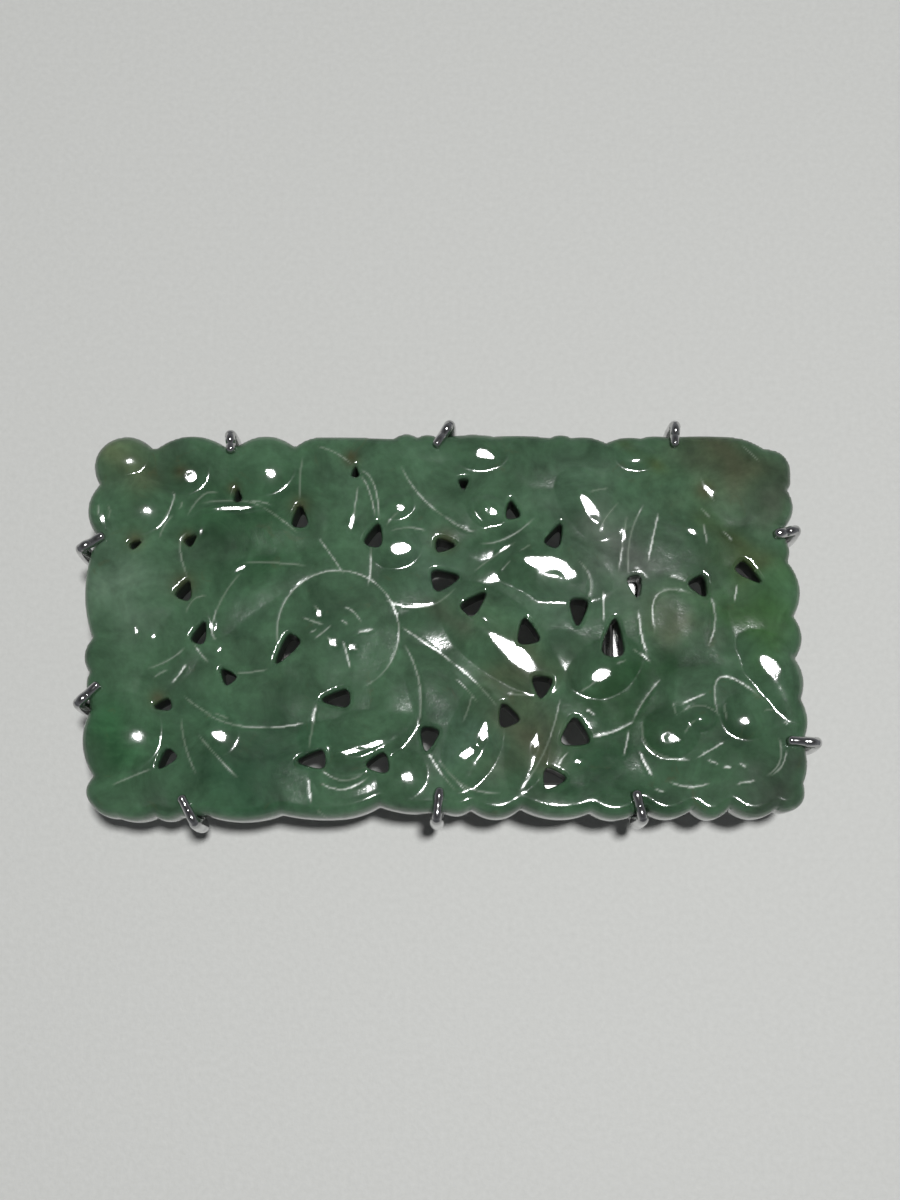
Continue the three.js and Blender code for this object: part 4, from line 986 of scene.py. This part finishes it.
jade = {
    "refraction": 1.66,
    "translucency": 0.45,
    "scatterRadius": (0.7, 1.0, 0.6), "scatterDepth": 0.0012,   # in metres
    "wax": 0.03, "waxRoughness": 0.3,           # a faint wide gloss over the sharp one
    "cloud": (0.68, 1.46), "fibre": (0.86, 1.14),       # darkest and palest, as shares of the tint
    "flushColour": (0.085, 0.075, 0.035), "flushStrength": 0.5,
    "lineColour": (0.28, 0.34, 0.26), "lineStrength": 0.34,
    # painted shade for the walls of the openings
    "openingWallShadeColour": (0.018, 0.035, 0.02),
    "roughness": (0.06, 0.11), "sawnRoughness": 0.5,
    # Noises: scale, detail, roughness and distortion. Their ranges that count, from low to high.
    "cloudNoise": (260.0, 5.0, 0.6, 0.6), "cloudRange": (0.3, 0.7),
    "fibreNoise": (1500.0, 3.0, 0.5), "fibreRange": (0.25, 0.75),
    "flushNoise": (420.0, 6.0, 0.65, 1.4), "flushRange": (0.62, 0.8),
    "polishNoise": (900.0, 4.0, 0.6), "polishRange": (0.3, 0.7),
    "grainNoise": (3600.0, 3.0, 0.55),
    "polishBump": (0.12, 0.00004), "grainBump": (0.22, 0.00002),     # strength, and distance in metres
}
metals = {      # bright and tarnished colour, and roughness where it is smoothest and roughest
    "satinWhiteMetal": ((0.62, 0.62, 0.61), (0.42, 0.42, 0.41), 0.2, 0.4),
    "polishedWhiteMetal": ((0.6, 0.6, 0.6), (0.4, 0.4, 0.4), 0.1, 0.24),
}
metalWear = {
    "noise": (700.0, 5.0, 0.6), "tarnishRange": (0.35, 0.65), "polishRange": (0.3, 0.7),
    "scratches": (2600.0, 3.0, 0.7), "scratchStretch": (0.25, 1.0, 1.0), "scratchBump": (0.15, 0.00003),
}


# Sets an input to a number or colour, or joins it to another node's output.
def feed(tree, socket, value):
    if isinstance(value, bpy.types.NodeSocket):
        tree.links.new(value, socket)
    else:
        socket.default_value = (*value, 1) if socket.type == "RGBA" else value


# Adds a node with its settings and its inputs.
def addNode(tree, kind, inputs, **settings):
    node = tree.nodes.new("ShaderNode" + kind)
    for name, value in settings.items():
        setattr(node, name, value)
    for name, value in inputs.items():
        feed(tree, node.inputs[name], value)
    return node


# A noise over a place, from 0 to 1.
def noise(tree, place, scale, detail, roughness, distortion=0.0):
    inputs = {"Vector": place, "Scale": scale, "Detail": detail,
              "Roughness": roughness, "Distortion": distortion}
    return addNode(tree, "TexNoise", inputs).outputs["Fac"]


# A value carried from one range to another, and cut off at its ends.
def mapped(tree, value, fromLow, fromHigh, toLow=0.0, toHigh=1.0):
    inputs = {"Value": value, "From Min": fromLow, "From Max": fromHigh, "To Min": toLow, "To Max": toHigh}
    return addNode(tree, "MapRange", inputs).outputs["Result"]


# The first colour, turned into the second by the share.
def mixed(tree, share, first, second):
    return addNode(tree, "Mix", {0: share, 6: first, 7: second}, data_type="RGBA").outputs[2]


# The result of one arithmetic step on its values.
def calculated(tree, operation, *values):
    return addNode(tree, "Math", dict(enumerate(values)), operation=operation).outputs["Value"]


# The normal over a bump of the given height, on top of another bump's.
def bumped(tree, height, strength, distance, under=None):
    inputs = {"Height": height, "Strength": strength, "Distance": distance}
    if under:
        inputs["Normal"] = under
    return addNode(tree, "Bump", inputs).outputs["Normal"]


# A new material with its node tree and the place on the object that its textures follow.
def newMaterial(name):
    material = bpy.data.materials.new(name)
    material.use_nodes = True
    tree = material.node_tree
    return material, tree, addNode(tree, "TexCoord", {}).outputs["Object"]


# The material with its shader's inputs fed.
def withShader(material, inputs):
    tree = material.node_tree
    for name, value in inputs.items():
        feed(tree, tree.nodes["Principled BSDF"].inputs[name], value)
    return material


# Polished jadeite: the tint times clouds and fibres, paler and duller in incised lines, and darkened with
# painted shade on the openings' walls.
def jadeMaterial():
    material, tree, place = newMaterial("polishedJade")
    incised, openingWallShade, unpolished = (addNode(tree, "Attribute", {}, attribute_name=name).outputs["Fac"]
                                 for name in ("incised", "openingWallShade", "unpolished"))
    tint = addNode(tree, "Attribute", {}, attribute_name="stoneTint").outputs["Color"]
    cloud = mapped(tree, noise(tree, place, *jade["cloudNoise"]), *jade["cloudRange"], *jade["cloud"])
    fibres = mapped(tree, noise(tree, place, *jade["fibreNoise"]), *jade["fibreRange"], *jade["fibre"])
    strength = calculated(tree, "MULTIPLY", cloud, fibres)
    colour = addNode(tree, "VectorMath", {0: tint, "Scale": strength}, operation="SCALE").outputs["Vector"]
    flush = noise(tree, place, *jade["flushNoise"])
    flush = mapped(tree, flush, *jade["flushRange"], 0.0, jade["flushStrength"])
    colour = mixed(tree, flush, colour, jade["flushColour"])
    line = calculated(tree, "MULTIPLY", incised, jade["lineStrength"])
    colour = mixed(tree, line, colour, jade["lineColour"])
    # Painted shade: the openings' walls are darkened towards a near-black green.
    colour = mixed(tree, openingWallShade, colour, jade["openingWallShadeColour"])
    polish = noise(tree, place, *jade["polishNoise"])
    gloss = mapped(tree, polish, *jade["polishRange"], *jade["roughness"])
    grain = bumped(tree, noise(tree, place, *jade["grainNoise"]), *jade["grainBump"])
    return withShader(material, {
        "Base Color": colour,
        "Roughness": calculated(tree, "MULTIPLY_ADD", unpolished, jade["sawnRoughness"], gloss),
        "Normal": bumped(tree, polish, *jade["polishBump"], grain),
        "IOR": jade["refraction"],
        "Coat Weight": jade["wax"],
        "Coat Roughness": jade["waxRoughness"],
        "Subsurface Weight": jade["translucency"],
        "Subsurface Radius": jade["scatterRadius"],
        "Subsurface Scale": jade["scatterDepth"],
    })


# Worn white metal: an uneven polish with fine scratches, greyer where it is tarnished.
def metalMaterial(name):
    bright, dark, smoothest, roughest = metals[name]
    material, tree, place = newMaterial(name)
    wear = noise(tree, place, *metalWear["noise"])
    stretch = {"Vector": place, "Scale": metalWear["scratchStretch"]}
    scratches = noise(tree, addNode(tree, "Mapping", stretch).outputs["Vector"], *metalWear["scratches"])
    return withShader(material, {
        "Metallic": 1.0,
        "Base Color": mixed(tree, mapped(tree, wear, *metalWear["tarnishRange"]), bright, dark),
        "Roughness": mapped(tree, wear, *metalWear["polishRange"], smoothest, roughest),
        "Normal": bumped(tree, scratches, *metalWear["scratchBump"]),
    })


jadeFinish = jadeMaterial()
mountFinish = metalMaterial("satinWhiteMetal")
clawFinish = metalMaterial("polishedWhiteMetal")

jadePlaque.data.materials.append(jadeFinish)
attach(jadePlaque, "root")
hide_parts("jade_plaque")
for node, piece in {**metalPieces, **clawPieces}.items():
    isClaw = node in clawPieces
    piece.data.materials.append(clawFinish if isClaw else mountFinish)
    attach(piece, "root")
    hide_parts(node)
print("materials and bodies set")

# Floor and light

paper = {
    "halfSize": 1.5,        # metres
    "dark": (0.5, 0.505, 0.485), "pale": (0.6, 0.605, 0.585), "roughness": 0.6,
    "noise": (2200.0, 3.0, 0.6), "bump": (0.2, 0.0001),
}
light = {
    "keyTiltDegrees": (0.5, 6),     # from straight up: towards +Y, and towards +X
    "keyDistance": 0.6, "keySize": 0.055, "keyPower": 3.3,
    "roundabout": (0.18, 0.185, 0.195), "overhead": (0.03, 0.03, 0.032),
    "overheadFrom": 0.9, "roundaboutTo": 0.3,    # heights of a direction, 1 straight up
}


# Pale grey paper with a fine grain.
def floorMaterial():
    material, tree, place = newMaterial("paleFloor")
    grain = noise(tree, place, *paper["noise"])
    return withShader(material, {
        "Base Color": mixed(tree, grain, paper["dark"], paper["pale"]),
        "Roughness": paper["roughness"],
        "Normal": bumped(tree, grain, *paper["bump"]),
    })


# The floor: a square sheet on the ground, which isn't part of the clip.
def makeFloor():
    size = paper["halfSize"]
    mesh = bpy.data.meshes.new("floor")
    corners = [(-size, -size, 0), (size, -size, 0), (size, size, 0), (-size, size, 0)]
    mesh.from_pydata(corners, [], [(0, 1, 2, 3)])
    floor = bpy.data.objects.new("floor", mesh)
    mesh.materials.append(floorMaterial())
    bpy.context.scene.collection.objects.link(floor)


# A round lamp over the clip, at the set distance and tilt, facing it.
def makeKeyLight():
    lamp = bpy.data.lights.new("keyLight", "AREA")
    lamp.shape = "DISK"
    lamp.size = light["keySize"]
    lamp.energy = light["keyPower"]
    softbox = bpy.data.objects.new("keyLight", lamp)
    north, east = (math.radians(angle) for angle in light["keyTiltDegrees"])
    away = np.array([math.sin(east), math.sin(north), math.cos(north)])
    softbox.location = light["keyDistance"] * away
    softbox.rotation_euler = (-north, east, 0)
    bpy.context.scene.collection.objects.link(softbox)


# A dark room overhead that grows paler towards the floor.
def makeSurround():
    world = bpy.data.worlds.new("surround")
    world.use_nodes = True
    tree = world.node_tree
    direction = addNode(tree, "TexCoord", {}).outputs["Generated"]
    height = addNode(tree, "SeparateXYZ", {"Vector": direction}).outputs["Z"]
    rise = mapped(tree, height, light["roundaboutTo"], light["overheadFrom"])
    tone = mixed(tree, rise, light["roundabout"], light["overhead"])
    feed(tree, tree.nodes["Background"].inputs["Color"], tone)
    bpy.context.scene.world = world


makeFloor()
makeKeyLight()
makeSurround()
bpy.context.scene.view_settings.view_transform = "Standard"
print("floor and lights ready")
